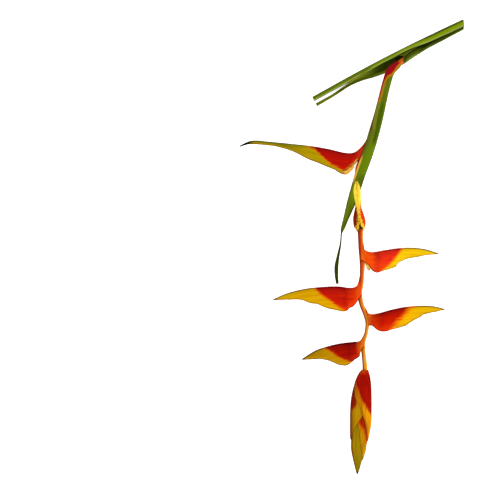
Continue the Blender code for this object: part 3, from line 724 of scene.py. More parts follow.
# %% The bracts' numbers
BRACTS = {
    "bract_1": {
        "node": (11.5, 90.5, 6.3), "side": -1, "tilt": -1.6, "seed": 11, "frill": (0.25, 17), "grow": 0.08,
        "keel": [(-3.2, 18), (1.6, 10.6), (9.6, 3.8), (18, 3.2), (34, 6.8), (52, 10), (72, 12.2),
                 (94, 14.4), (113, 15.4), (125, 10.4)],
        "lip": [(-4.6, 3), (0.4, -0.2), (5.3, -4.3), (9.6, -8.7), (10.6, -12), (13.5, -14.9), (16.6, -17.9),
                (20, -18.4), (24.5, -16.9), (28, -14.4), (40, -9.2), (56, -2.8), (72, 5), (86, 9.2),
                (102, 11.4), (114, 12), (124.6, 9.3)],
        "thickness": (3.9, 6.2, 4.4, 2.6, 1.7, 1.2), "pinch": (0.62, 0.9),
        "border": [(55.3, 9.7), (51.2, 7.9), (46.5, 3.6), (41, -1.8), (36.5, -5.6), (31.9, -8.6),
                   (25.7, -11.9), (20.6, -14.2), (17.2, -13.2), (13.5, -10.2), (10, -7.4), (5.3, -4.2)],
    },
    "bract_3": {
        "node": (9.3, -11.5, 6.3), "side": 1, "tilt": -2.4, "seed": 23, "frill": (0.2, 17), "grow": 0.12,
        "keel": [(0.6, 20), (1.4, 13.5), (3.2, 8.3), (9.6, 6), (22.2, 7.8), (36.2, 9.8), (50.2, 10.4),
                 (64.2, 8.7), (77.4, 4.6)],
        "lip": [(-2.4, -1.4), (1.0, -3.4), (4.2, -5.4), (8, -8.7), (11, -12.7), (14.2, -14.5),
                (17.9, -13.8), (26.4, -11.4), (31.7, -9.6), (34.4, -8.3), (34.9, -6.8), (39.4, -3.2),
                (44.7, -1.0), (54.2, 0.8), (65.2, 2.9), (77.2, 3.8)],
        "thickness": (4.0, 6.3, 5.6, 3.8, 2.2, 1.2), "pinch": (0.62, 0.9),
        "border": [(41.7, 9.9), (37.1, 4.9), (33.2, -0.6), (28.6, -5.3), (24.1, -9.6), (20.6, -13.0)],
    },
    "bract_4": {
        "node": (6.3, -47.5, 6.3), "side": -1, "tilt": -2.2, "seed": 37, "frill": (0.2, 17), "grow": 0.12,
        "keel": [(-1.0, 20), (0.2, 13.2), (2.4, 8.0), (7.4, 6.2), (20.8, 7.6), (36.8, 7.1), (54.8, 5),
                 (70.8, 1), (85.8, -5.2)],
        "lip": [(-3.3, -0.8), (-0.8, -4.2), (1.4, -7.2), (3.5, -10.2), (5.8, -12.6), (9.4, -14.3),
                (11.3, -16.4), (14.4, -17.5), (21.1, -16.4), (27.2, -15.3), (33.3, -13.5), (37.2, -11.9),
                (41, -10.3), (47.9, -9.2), (50.2, -8.5), (55.5, -6.5), (61, -5.5), (70.8, -5.7),
                (85.6, -6.2)],
        "thickness": (3.8, 6.2, 5.6, 3.9, 2.3, 1.2), "pinch": (0.6, 0.9),
        "border": [(44.8, 6.3), (40.2, 1.8), (37.2, -0.5), (32.6, -3.5), (28, -6.6), (23.4, -10),
                   (18.8, -13.5), (13.6, -17.0)],
    },
    "bract_5": {
        "node": (14.2, -72.5, 6.3), "side": 1, "tilt": -2.0, "seed": 41, "frill": (0.2, 17), "grow": 0.09,
        "keel": [(-3.2, 16), (-0.6, 9.4), (3.0, 5.2), (11.3, 5.7), (23.3, 9), (37.3, 11.9), (51.3, 13.2),
                 (65.3, 12.9), (78.6, 10.2)],
        "lip": [(0.6, -6.6), (2.8, -6.4), (5.4, -6.8), (7.6, -8.4), (9.6, -10.3), (12.3, -11.9),
                (16.3, -12.5), (21.5, -11.7), (26.8, -10.1), (33.7, -8.2), (39.4, -6.6), (41.4, -4.9),
                (45.2, -2.3), (49.5, -0.2), (54.3, 2.5), (57.2, 4.5), (63.3, 5.9), (78.4, 9.3)],
        "thickness": (3.5, 6.0, 5.4, 3.8, 2.3, 1.2), "pinch": (0.62, 0.9),
        "border": [(46.5, 12.6), (40.8, 8.2), (36.7, 3.7), (32.6, -0.9), (28.3, -5.5), (24.6, -10.6)],
    },
    "bract_6": {
        "node": (10.6, -98.5, 6.3), "side": -1, "tilt": -2.6, "seed": 53, "frill": (0.15, 17), "grow": 0.12,
        "keel": [(-1.8, 14), (0.2, 8.6), (3.6, 4.1), (10, 3.1), (22, 1.7), (35, -1.2), (48, -5.8),
                 (61.4, -14)],
        "lip": [(-2.0, -2.0), (0.8, -4.0), (2.6, -7.4), (3.3, -10.6), (5.4, -12.6), (8.2, -14.6),
                (12.4, -18), (15.4, -19.8), (18.5, -20.6), (24.6, -19.6), (30.8, -17), (36.9, -14.9),
                (44.5, -14), (52.2, -14.5), (60.8, -15)],
        "thickness": (3.4, 5.6, 5.0, 3.6, 2.2, 1.2), "pinch": (0.55, 0.9),
        "border": [(40, -2.6), (34.6, -5.0), (30.8, -7.8), (24.6, -11.8), (18.5, -14.7), (13, -16.8),
                   (10.6, -17.6)],
    },
    "bract_2": {
        "node": (6.9, 20.5, 6.3), "rise": 50.0, "sway": 6.5, "lop": 0.9, "seed": 67, "frill": (0.9, 9),
        "grow": 0.1,
        "keel": [(4.0, 1.6), (9, 2.2), (15.6, 3.2), (26, 3.6), (37.5, 3.1), (49.7, 2.1), (60.4, 0.9),
                 (68, 0)],
        "lip": [(-2.6, -2.6), (1.7, -7.7), (6.6, -11.9), (12.7, -15.5), (20.5, -17.2), (29.2, -16),
                (38.8, -12.4), (47.9, -8.2), (57, -4.1), (67.9, -0.5)],
        "thickness": (4.3, 5.9, 6.2, 5.4, 3.9, 2.7, 2.6, 3.3, 3.6, 2.8, 1.1),
        "pinch": (0.45, 0.55, 0.52, 0.42, 0.12, 0.02, 0.02, 0.02, 0.03, 0.1, 0.6),
        "border": [(29, 4.5), (33, 0), (38, -4.4), (41, -7), (37, -10.8), (29, -13), (20, -14.3),
                   (12.7, -12.6), (6.6, -9.2), (1.7, -5.2), (-2.6, -1)],
    },
}
print("bracts:", sorted(BRACTS))

# %% [markdown]
# ## The bracts' skin
#
# A bract is orange where it leaves the stem, red on its cheeks, darker along the keel with painted
# shade, and yellow on the lip and the beak. The border is sharp but ragged, because each vein changes
# colour at its own place. The mesh knows how far each point is beyond the border, so the skin adds
# the veins' noise to that distance before it turns it into colour. A picture could show this too,
# but it would be blurred close up, and this is not.
#
# Every bract has the same recipe and its own numbers. Tones are the colours: grown where it leaves
# the stem, base next to that, red and low on the cheek and near the lip, dark for the painted shade
# along the keel, in the fold and on the lip and for the streaks, edge at the border, yellow, lip, tip
# and point on the far side, rim for the thin line of painted shade on lip and keel. Reaches are two
# distances in mm between which a tone fades in: reach from the base, throat_reach inside the mouth,
# tip_reach and point_reach counted from the tip. Fold is a band of painted shade in the fold across
# the base and its strength, deep the painted shade by the keel, sharp and soft the raggedness and the
# width of the border, crease the length of a dark line of painted shadow at the foot of the lip, and
# dried the stretch of lip that has gone dry: start, end, width, straw and spots.

# %% The bracts' colours
# Painted shade: the fold, the shade by the keel, the crease at the lip's foot, the line along the lip and
# the rim darken the colour where the surface turns away or lies in a recess.
PAINT = {
    "reach": (4.0, 15.0), "fold": (10.0, 18.0, 0.25), "deep": 0.45, "tip_reach": (34.0, 8.0),
    "point_reach": (5.0, 1.0), "throat": (226, 140, 50), "mouth": (240, 180, 80),
    "throat_reach": (14.0, 24.0), "rim": (124, 88, 6), "sharp": 0.7, "soft": 1.4, "lip_line": 0.5,
    "crease": 0.0, "specks": 0.15, "coat": 0.015, "stripes": 0.25, "stripe": (150, 90, 4),
}
BRACT_PAINT = {
    "bract_1": {
        "reach": (3.0, 10.0), "tip_reach": (72.0, 40.0), "point_reach": (17.0, 9.0),
        "base": (206, 50, 14), "red": (196, 20, 6), "low": (206, 30, 6), "dark": (132, 6, 8),
        "edge": (230, 150, 12), "yellow": (192, 162, 2), "lip": (200, 150, 10), "tip": (118, 118, 10),
        "point": (22, 28, 4), "rim": (70, 76, 6), "sharp": 0.9, "soft": 1.0, "lip_line": 0.7,
        "crease": 14.0, "dried": (6.0, 25.0, 3.6, (240, 180, 74), (176, 96, 22)),
    },
    "bract_2": {
        # the throat tone is painted shade: dark brown deep in this bract's mouth
        "throat": (66, 28, 6), "mouth": (238, 190, 52), "throat_reach": (22.0, 32.0), "coat": 0.0,
        "base": (226, 84, 24), "red": (222, 60, 22), "low": (228, 70, 24), "dark": (150, 24, 14),
        "edge": (196, 96, 14), "yellow": (255, 230, 60), "lip": (255, 214, 66), "tip": (255, 224, 74),
        "point": (230, 190, 60), "rim": (255, 214, 66), "sharp": 1.2, "soft": 0.9, "lip_line": 0.0,
        # the cheek tone is painted shade on this bract's left cheek
        "specks": 0.35, "cheek": (112, 24, 12), "stripes": 0.1, "stripe": (226, 150, 30),
        "dried": (-20.0, 31.0, 3.4, (246, 190, 48), (70, 28, 8)),
    },
    "bract_3": {
        "reach": (8.0, 15.0), "fold": (11.0, 21.0, 0.5), "deep": 0.12, "grown": (250, 114, 22),
        "base": (253, 86, 6), "red": (238, 44, 22), "low": (255, 78, 12), "dark": (158, 8, 12),
        "edge": (252, 130, 8), "yellow": (252, 202, 8), "lip": (246, 190, 12), "tip": (234, 190, 12),
        "point": (110, 84, 14), "sharp": 0.6, "soft": 1.6, "crease": 17.0,
    },
    "bract_4": {
        "grown": (236, 84, 12), "base": (228, 52, 4), "red": (206, 28, 6), "low": (238, 62, 4),
        "dark": (130, 4, 10), "edge": (236, 112, 4), "yellow": (228, 168, 2), "lip": (222, 162, 4),
        "tip": (208, 168, 4), "point": (90, 68, 8), "sharp": 0.65, "soft": 1.6, "lip_line": 0.7,
        "crease": 10.0,
    },
    "bract_5": {
        "grown": (226, 110, 24), "base": (212, 56, 4), "red": (204, 26, 2), "low": (228, 54, 2),
        "dark": (126, 4, 6), "edge": (242, 116, 2), "yellow": (246, 184, 2), "lip": (226, 168, 4),
        "tip": (222, 178, 6), "point": (96, 72, 8), "sharp": 1.3, "soft": 3.0, "lip_line": 0.6,
        "crease": 12.0,
    },
    "bract_6": {
        "reach": (4.6, 8.0), "grown": (216, 110, 18), "base": (216, 74, 8), "red": (170, 16, 2),
        "low": (190, 32, 2), "dark": (92, 4, 6), "edge": (206, 96, 2), "yellow": (200, 142, 2),
        "lip": (216, 160, 6), "tip": (166, 126, 4), "point": (70, 50, 8), "rim": (84, 56, 6),
        "sharp": 0.55, "soft": 1.4, "lip_line": 0.9,
    },
}
print("shared numbers of a bract's skin:", len(PAINT))

# %% [markdown]
# The recipe is laid on in layers, each a share and a tone, as a painter would glaze them. Red and
# yellow sides are worked out separately and then meet at the ragged border. Two old bracts have
# lips that dried to straw with brown spots, and the second bract's left cheek lies in its own
# shade, which is painted on as a darker layer, so those get layers of their own.

# %% The layers of the red side
RAGGED, BROAD_RAGGED = 12.0, 3.0


def bract_places(skin, paint):
    """The values that the layers read: distances in mm that the mesh keeps, and the veins' noise."""
    kept = ("past_red", "from_base", "from_tip", "from_lip", "from_keel")
    at = SimpleNamespace(**{label: skin.held(label) for label in kept})
    at.streak, at.broad = skin.veins(7.0, 150.0), skin.mottle(55.0)
    at.ragged = (at.streak - 0.5) * (RAGGED * paint["sharp"]) + (at.broad - 0.5) * BROAD_RAGGED
    at.past = at.past_red + at.ragged
    at.uneven_base = at.from_base + at.ragged
    # painted shade: the share of a thin darker line along the lip
    at.lip_line = at.from_lip.step(1.3, 0.5) * paint["lip_line"]
    at.stripes = skin.veins(2.0, 34.0, 2.0).step(0.46, 0.64) * paint["stripes"]
    return at


def red_side(skin, paint, at):
    """Orange at the stem, red on the cheek, painted shade along the keel and in the fold, veins and
    stripes.
    """
    dark, low, base = paint["dark"], paint["low"], paint["base"]
    start, end, strength = paint["fold"]
    reach_start, reach_end = paint["reach"]
    near = skin.mix(at.uneven_base.step(1.0, 5.5), paint.get("grown", base), base)
    red = skin.layers(
        paint["red"],
        (at.from_lip.step(9.0, 1.0), low),
        # painted shade: the cheek darkens towards the keel
        (at.from_keel.step(9.0, 2.0) * paint["deep"], dark),
        # painted shade: a dark line along the rounded keel
        (at.from_keel.step(2.4, 1.0), dark),
        (at.uneven_base.step(reach_end, reach_start), near),
        # painted shade: a darker band in the fold across the base
        (at.uneven_base.between(start, end, (end - start) / 2) * strength, dark),
        (at.streak.step(0.45, 0.7) * 0.3, dark),
        (at.broad.step(0.5, 0.68) * 0.35, low),
        (at.stripes, dark),
    )
    # painted shade: the second bract's left cheek darkened
    if "cheek" in paint:
        red = skin.mix(skin.held("side").step(0.02, 0.2) * 0.9, red, paint["cheek"])
    # painted shade: a thin dark line along the lip
    return skin.mix(at.lip_line, red, dark)


sharpest = max({**PAINT, **paint}["sharp"] for paint in BRACT_PAINT.values())
print("the most ragged border moves by up to mm:", round(RAGGED * sharpest / 2, 1))

# %% [markdown]
# The yellow side has layers of its own: the tip's tone, the lip, specks and a thin brown rim of
# painted shade. A dried lip is straw with spots and a dark crease below it. It could be a torn sheet
# of its own, but on the flower it is still one with the bract, so it is a layer too.

# %% The layers of the yellow side and a dry lip


def yellow_side(skin, paint, at):
    """Yellow that turns to the tip's tone, with brown specks and a thin rim of painted shade on lip and
    keel.
    """
    return skin.layers(
        paint["yellow"],
        ((at.from_tip + at.ragged).step(*paint["tip_reach"]), paint["tip"]),
        (at.from_lip.step(3.0, 0.8), paint["lip"]),
        (at.streak.step(0.4, 0.7) * 0.5, paint["tip"]),
        (at.stripes, paint["stripe"]),
        (skin.mottle(420.0).step(0.6, 0.68) * paint["specks"], (176, 104, 14)),
        # painted shade: a thin darker rim along the keel and the lip
        (at.from_keel.step(1.5, 0.7), paint["rim"]),
        (at.lip_line, paint["rim"]),
        (at.from_tip.step(*paint["point_reach"]), paint["point"]),
    )


def dry_lip(skin, paint, at):
    """Layers for a stretch of dried lip: a dark crease below it, then straw with spots."""
    start, end, width, straw, spot = paint["dried"]
    there = at.from_base.between(start, end, 2.0, 5.0)
    rim = at.from_lip + (at.broad - 0.5) * 2.0
    spotted = skin.mottle(500.0).step(0.5, 0.62)
    if "cheek" in paint:
        spotted = spotted * skin.held("side").step(-0.5, 0.3)
    return [
        (there * rim.step(width + 1.2, width + 0.5), (96, 16, 6)),
        (there * rim.step(width + 0.4, width - 0.3), skin.mix(spotted, straw, spot)),
    ]


print("bracts with dried lips:", [name for name, paint in BRACT_PAINT.items() if "dried" in paint])

# %% The skin of a red and yellow bract


def bract_skin(name, paint):
    """Waxy bract: the red side, the tone of the border, the yellow side beyond it, then dry lips,
    a painted shadow line in the crease at the lip's foot, the paler inside and painted shade on the
    left side of what is rolled round."""
    paint = {**PAINT, **paint}
    skin = Skin("skin of " + name, shine=0.36, coat=paint["coat"])
    at = bract_places(skin, paint)
    soft, crease = paint["soft"], paint["crease"]
    inside = skin.mix(at.from_base.step(*paint["throat_reach"]), paint["throat"], paint["mouth"])
    over = [
        (at.past.step(-soft, 0.2 * soft), paint["edge"]),
        (at.past.step(0.0, 0.9 * soft), yellow_side(skin, paint, at)),
    ]
    if "dried" in paint:
        over += dry_lip(skin, paint, at)
    if crease:
        # painted shadow: a dark line in the crease where the lip's foot meets the stem
        foot = at.from_base.step(crease, crease - 4.0) * at.from_lip.step(1.1, 0.5)
        over.append((foot * 0.9, (110, 18, 6)))
    over.append((skin.held("inside") * 0.7, inside))
    # painted shade: the left side of the bud's rolled bracts is darkened
    over.append((skin.held("left").step(0.62, 0.92) * 0.8, (112, 26, 6)))
    gloss = {"Value": skin.mottle(700.0), "To Min": 0.3, "To Max": 0.46}
    skin.set("Roughness", skin.add("MapRange", gloss))
    whole = skin.layers(red_side(skin, paint, at), *over)
    return skin.done(whole, skin.veins(10.0, 320.0, 2.0), 0.35, 0.00025)


print("bracts with a crease:", [name for name, paint in BRACT_PAINT.items() if "crease" in paint])

# %% [markdown]
# The blade is 1.15 mm thick at its base and 0.8 mm at its tip, and it thins to half of that at the
# lips, as a real one does. One grid gives all of it. The grid is finer near the base, where the
# blade bends round the stem, because even rows would show corners there.

# %% Make the six open bracts
BRACT_ROWS, BRACT_COLUMNS, BASE_CROWDING = 170, 65, 1.15
BASE_WALL, TIP_LESS, LIP_LESS = 1.15, 0.35, 0.55
KEEL_SIDE_COUNTS, LIP_SIDE_COUNTS = 0.25, 0.45


def open_bract(name, bract):
    """One bract as a closed skin: both faces of the boat with a wall between them."""
    u = (np.linspace(0.0, 1.0, BRACT_ROWS) ** BASE_CROWDING)[:, None] * np.ones((1, BRACT_COLUMNS))
    v = np.linspace(-1.0, 1.0, BRACT_COLUMNS)[None, :] * np.ones((BRACT_ROWS, 1))
    wall = (BASE_WALL - TIP_LESS * u) * (1.0 - LIP_LESS * np.abs(v) ** 3)
    outer, flat = boat(bract, u, v, np.zeros_like(u))
    inner, _ = boat(bract, u, v, wall)
    _, _, depth, down = boat_lines(bract, u, v)
    from_base = flat[..., 0]
    if "side" in bract:
        counts = np.where(flat[..., 1] > 0, KEEL_SIDE_COUNTS, LIP_SIDE_COUNTS)
        from_base = np.hypot(from_base, counts * flat[..., 1])
    return blade_mesh(
        "blade_of_" + name, outer, inner, depth * down * np.sign(v), [bract_skin(name, BRACT_PAINT[name])],
        past_red=beyond(flat, bract["border"]) + bract.get("lop", 0.0) * np.sign(v),
        from_base=from_base, from_tip=np.linalg.norm(flat - bract["keel"][-1], axis=-1),
        from_lip=depth * (1 - down), from_keel=depth * down, side=v,
    )


for node, bract in sorted(BRACTS.items()):
    dress(open_bract(node, bract), node)

# %% [markdown]
# ## The bud
#
# Towards the tip the bracts are still wrapped round each other. Each has its keel on one side and
# its two free edges run round the bud to its own tip. On the real bud the layers are pressed flat
# on each other. Each could be sculpted over the one below. Here every layer is the bud's oval,
# drawn in under each bract that covers it by one wall and one gap, so the layers can never cross.
# The outline's rows are the distance from the bud's base, its left and right side and half its
# height. A bract's edge is drawn in the same way, as (distance, x).

# %% The bud's outline and edges
BUD_TOP = -123.6
BUD_OUTLINE = [
    (0, 8.2, 16.0, 3.7), (4, 5.3, 17.1, 5.0), (9, 2.8, 18.2, 5.9), (16, 0.7, 19.0, 6.5),
    (26, -1.2, 19.3, 6.8), (40, -2.4, 19.3, 6.8), (54, -2.6, 19.0, 6.4), (66, -2.5, 16.8, 5.6),
    (80, -1.4, 13.7, 4.4), (92, 1.0, 9.9, 2.9), (100, 2.9, 7.0, 1.7), (104, 4.0, 5.6, 0.9),
]
BUD_BRACTS = [
    ("bud_bract_1", 1, [(0, 8.6), (5, 5.4), (13, 2.2), (20, 1.8), (27, 2.8), (34, 5.8), (44, 9.8),
                        (52, 12.6), (62, 14.4), (71, 15.5)]),
    ("bud_bract_2", -1, [(6, 16.8), (20, 17.4), (34, 14.4), (44, 10.6), (51, 5.8), (57, 2.0), (63, -0.2),
                         (69, -2.0)]),
    ("bud_bract_3", 1, [(11, 3.0), (30, 1.2), (44, 3.0), (52, 4.8), (60, 6.2), (72, 7.8), (82, 9.3),
                        (90, 10.3)]),
]
BUD_WALL, BUD_GAP, BUD_HEIGHT, BUD_CORE_START = 0.55, 0.12, 6.4, 15.0
BUD_MARGIN, BUD_UNCOVER, BUD_UNCOVER_RATE = radians(12), radians(55), radians(8)
BUD_EDGE_LIMITS = (-0.96, 0.995)
bud_dense = smooth_line(BUD_OUTLINE, np.linspace(0.0, 1.0, 300))
print("the bud's greatest width in mm:", round((bud_dense[:, 2] - bud_dense[:, 1]).max(), 1))

# %% [markdown]
# A point of a layer starts on the bud's oval and moves in along the oval's normal by the walls of
# the bracts that cover it. Moving it straight towards the middle would be simpler, but the oval is
# flat, so the gaps would then be uneven.

# %% The shape of a layer


def bud_outline(distance):
    """The middle, half width and half height of the bud at each distance from its base."""
    left, right, high = [np.interp(distance, bud_dense[:, 0], bud_dense[:, k]) for k in (1, 2, 3)]
    return (left + right) / 2, (right - left) / 2, high


def bud_reach(side, edge, distance):
    """The angle from a bract's keel to its free edge: the arc cosine of the edge's share of the width."""
    line = smooth_line(edge, np.linspace(0.0, 1.0, 200))
    middle, wide, _ = bud_outline(np.minimum(distance, line[-1, 0]))
    edge_place = side * (np.interp(distance, line[:, 0], line[:, 1]) - middle) / wide
    reach = np.arccos(np.clip(edge_place, *BUD_EDGE_LIMITS))
    return reach - BUD_UNCOVER_RATE * np.maximum(distance - line[-1, 0], 0.0)


def bud_layer(distance, angle, over, wall):
    """Points on one layer: the oval at each angle, moved in along its normal by the covers' depth.

    A cover counts fully under the bract and for a margin beyond its edge, then eases out.
    """
    middle, wide, high = bud_outline(distance)
    depth = wall + np.zeros_like(angle)
    for _, side, edge in over:
        from_keel = np.abs(np.arctan2(np.sin(angle), side * np.cos(angle)))
        past = from_keel - bud_reach(side, edge, distance) - BUD_MARGIN
        depth = depth + (BUD_WALL + BUD_GAP) * (1.0 - ease(0.0, BUD_UNCOVER, past))
    x, z = wide * np.cos(angle), high * np.sin(angle)
    normal = np.stack([x / wide**2, z / high**2])
    normal /= np.linalg.norm(normal, axis=0)
    height = np.maximum(BUD_HEIGHT + z - normal[1] * depth, depth)
    return np.stack([middle + x - normal[0] * depth, BUD_TOP - distance + 0 * x, height], axis=-1)


print("the core lies in by mm:", round(len(BUD_BRACTS) * (BUD_WALL + BUD_GAP), 2))

# %% [markdown]
# The bud's skin is the same waxy skin, so only its numbers are new. The borders of red and yellow
# are given on the bud itself, as (x, distance from its base), because there each bract shows only a
# strip of itself. The core is still green-yellow all over.

# %% The bud's colours
BUD_PAINT = {
    "bud_bract_1": {
        "reach": (1.0, 5.5), "tip_reach": (48.0, 26.0), "base": (216, 70, 10), "red": (164, 16, 2),
        "low": (186, 26, 2), "dark": (120, 4, 4), "edge": (200, 88, 4), "yellow": (176, 96, 2),
        "lip": (190, 112, 4), "tip": (226, 150, 4), "point": (206, 146, 12), "sharp": 0.6, "soft": 1.2,
        "lip_line": 0.35, "specks": 0.3, "stripes": 0.6,
    },
    "bud_bract_2": {
        "base": (150, 24, 6), "red": (160, 22, 6), "low": (176, 34, 6), "dark": (104, 8, 8),
        "edge": (176, 82, 4), "yellow": (190, 144, 2), "lip": (200, 138, 8), "tip": (172, 128, 2),
        "point": (140, 100, 6), "sharp": 0.7, "soft": 1.4, "lip_line": 0.4, "specks": 0.45,
        "stripes": 0.45, "stripe": (134, 66, 2),
    },
    "bud_bract_3": {
        "base": (160, 34, 4), "red": (168, 34, 2), "low": (186, 50, 2), "dark": (124, 12, 2),
        "edge": (196, 92, 2), "yellow": (186, 134, 2), "lip": (206, 140, 4), "tip": (196, 138, 2),
        "point": (140, 98, 6), "sharp": 0.8, "lip_line": 0.5, "specks": 0.3, "stripes": 0.6,
    },
    "bud_core": {
        "base": (166, 132, 4), "red": (168, 130, 2), "low": (168, 130, 2), "dark": (138, 120, 4),
        "edge": (168, 130, 2), "yellow": (170, 134, 2), "lip": (182, 132, 4), "tip": (134, 112, 2),
        "point": (70, 40, 8), "tip_reach": (30.0, 4.0), "sharp": 1.0, "lip_line": 0.0, "specks": 0.45,
        "stripes": 0.55, "stripe": (120, 108, 2),
    },
}
BUD_BORDERS = {
    "bud_bract_1": [(3.0, 8), (3.6, 14.6), (6.2, 22.4), (9.2, 29.4), (12.3, 34.6), (15.6, 40), (19.6, 47)],
    "bud_bract_2": [(-3, 40.6), (0.8, 38.4), (3.1, 34.6), (3.9, 31.3), (3.2, 22), (1.5, 10)],
    "bud_bract_3": [(5.2, 51.2), (7.0, 54.4), (9.4, 58), (11.6, 63.4), (13.0, 68)],
}
print("bud skins:", list(BUD_PAINT))

# %% [markdown]
# A bract of the bud is the part of its layer between the two free edges, which wave slightly. It
# could be cut out of a whole layer, but a grid that ends at the edges has a rounded rim from the
# start. The core closes to a spindle and is a full tube. To its skin every point is far beyond the
# border, so it shows the yellow side only.

# %% Make the bud
WRAP_ROWS, WRAP_COLUMNS, CORE_ROWS, CORE_COLUMNS = 150, 75, 150, 72
WAVE, WAVE_LENGTH, EDGE_LESS, CORE_SKIN_WIDTH, FAR = 0.012, 19.0, 0.5, 60.0, 20.0


def bud_bract(name, side, edge, over):
    """One closed bract: the layer between its two free edges, down to its own tip."""
    distance = np.linspace(edge[0][0], edge[-1][0], WRAP_ROWS)[:, None] * np.ones((1, WRAP_COLUMNS))
    share = np.linspace(-1.0, 1.0, WRAP_COLUMNS)[None, :]
    reach = bud_reach(side, edge, distance) * (1.0 + WAVE * waver(distance, WAVE_LENGTH, len(over) + 5))
    angle = reach * share + (0.0 if side > 0 else pi)
    wall = BUD_WALL * (1.0 - EDGE_LESS * np.abs(share) ** 6) * np.ones_like(distance)
    outer, inner = bud_layer(distance, angle, over, 0.0), bud_layer(distance, angle, over, wall)
    _, wide, _ = bud_outline(distance)
    return blade_mesh(
        name + "_wrap", outer, inner, angle * wide, [bract_skin(name, BUD_PAINT[name])],
        past_red=beyond(np.stack([outer[..., 0], distance], -1), BUD_BORDERS[name]), from_base=distance,
        from_tip=edge[-1][0] - distance, from_lip=reach * (1 - np.abs(share)) * wide,
        # left is how far left each point lies, which the skin darkens as painted shade
        from_keel=reach * np.abs(share) * wide, left=-np.cos(angle),
    )


for k, (node, side, edge) in enumerate(BUD_BRACTS):
    dress(bud_bract(node, side, edge, BUD_BRACTS[:k]), node)

bud_end = BUD_OUTLINE[-1][0]
core_distance = np.linspace(BUD_CORE_START, bud_end, CORE_ROWS)[:, None] * np.ones((1, CORE_COLUMNS))
core_angle = np.linspace(0.0, 2 * pi, CORE_COLUMNS, endpoint=False) - pi / 2 + np.zeros((CORE_ROWS, 1))
core = tube_mesh(
    "bud_core_spindle", bud_layer(core_distance, core_angle, BUD_BRACTS, 0.0),
    np.linspace(0.0, CORE_SKIN_WIDTH, CORE_COLUMNS + 1), [bract_skin("bud_core", BUD_PAINT["bud_core"])],
    past_red=FAR, from_base=core_distance, from_tip=bud_end - core_distance, from_lip=FAR, from_keel=FAR,
    # left is how far left each point lies, which the skin darkens as painted shade
    inside=0.0, left=-np.cos(core_angle),
)
dress(core, "bud_core")

# %% [markdown]
# ## The flowers in the bracts
#
# The true flowers are small yellow tubes that hide in the bracts. Most are over and have turned
# brown at their tips. They could be modelled petal by petal, but only the tubes' ends ever show.
# Each is a row of circles with three lobes, carried along a bent line in the bract's plane, and
# they fan out across it. The rows give the bract, the line, how far the tubes are apart and their
# radius, and the skin: in the second bract they are withered.

# %% The flowers' numbers and skin
FLOWERS = {
    "flowers_1": ("bract_1", [(6.6, -3.4), (12, -6.5), (17.5, -12.5), (19, -16.5)], 1.35, 1.3, "yellow"),
    "flowers_2": ("bract_2", [(3.3, -4.3), (5.6, -7.6), (9.5, -10.8), (14.1, -13)], 1.35, 1.3, "withered"),
    "flowers_3": ("bract_3", [(5.4, -2.6), (6.2, -6.4), (7.0, -9.6), (7.6, -12.2)], 0.6, 1.95, "yellow"),
    "flowers_4": ("bract_4", [(1.5, -4.4), (9, -6.4), (14.5, -10.5), (15.8, -14.8)], 1.35, 1.3, "yellow"),
    "flowers_5": ("bract_5", [(4.4, -1.5), (10, -3.5), (14.6, -7.5), (16.4, -11)], 1.35, 1.3, "yellow"),
    "flowers_6": ("bract_6", [(3.9, -3), (9.8, -6.8), (14.4, -12), (16.4, -17)], 1.35, 1.3, "yellow"),
}
TUBE_PROFILE = (0.8, 0.95, 1.05, 1.05, 0.95, 0.8, 0.3)
TUBES, TUBE_ROWS, TUBE_SIDES, TUBE_LOBES = 3, 36, 16, (0.12, 3)


def flower_skin(name, brown, age):
    """Soft flower: cream and yellow, with a brown tip that the mottle makes uneven. The age moves
    the brown down the tube."""
    skin = Skin(name, shine=0.6, coat=0.0)
    place = skin.held("along") + (skin.mottle(500.0) - 0.5) * 0.5 + age
    skin.set("Sheen Weight", 0.03)
    stops = [(0.0, (240, 172, 56)), (0.45, (255, 204, 88)), (0.8, (255, 190, 88)), (1.0, brown)]
    return skin.done(skin.ramp(place, stops), skin.veins(20.0, 900.0), 0.5, 0.0003)


flower_skins = {
    "yellow": flower_skin("yellow flower", (150, 92, 36), 0.0),
    "withered": flower_skin("withered flower", (74, 34, 10), 0.4),
}
print("groups of flowers:", len(FLOWERS), "with the skins", list(flower_skins))

# %% Make the flowers


def flower_tubes(bract, route, spread, radius):
    """Rings of several tubes: a bent line, the spread across the bract, and a three-lobed circle."""
    turn = bract_axes(bract)
    t = np.linspace(0.0, 1.0, TUBE_ROWS)
    line = smooth_line(route, t)
    for k in range(TUBES):
        draw = np.random.default_rng(bract["seed"] + k).uniform(-1.0, 1.0, 3)
        off = (k - (TUBES - 1) / 2) * spread * (0.75 + 0.85 * t) + 0.3 * draw[0] * t
        reach = line + np.stack([0.5 * draw[1] * t, 0.6 * draw[2] * t], -1)
        path = reach @ turn[:2] + off[:, None] * turn[2] + bract["node"]
        along = np.gradient(path, axis=0)
        along /= np.linalg.norm(along, axis=1)[:, None]
        side = np.cross(along, turn[2])
        side /= np.linalg.norm(side, axis=1)[:, None]
        swell = radius * profile(TUBE_PROFILE, t)
        yield round_rings(path, side, np.cross(side, along), swell, TUBE_SIDES, TUBE_LOBES)


def joined(name, pieces):
    """Several objects made one, without their seams being touched."""
    with bpy.context.temp_override(active_object=pieces[0], selected_editable_objects=pieces):
        bpy.ops.object.join()
    pieces[0].name = name
    return pieces[0]


for node, (bract, route, spread, radius, look) in FLOWERS.items():
    tubes = [
        tube_mesh(
            f"{node}_{k}", rings, np.linspace(0.0, 8.0, TUBE_SIDES + 1), [flower_skins[look]],
            along=np.linspace(0.0, 1.0, TUBE_ROWS)[:, None],
        )
        for k, rings in enumerate(flower_tubes(BRACTS[bract], route, spread, radius))
    ]
    dress(joined(node + "_tubes", tubes), node)

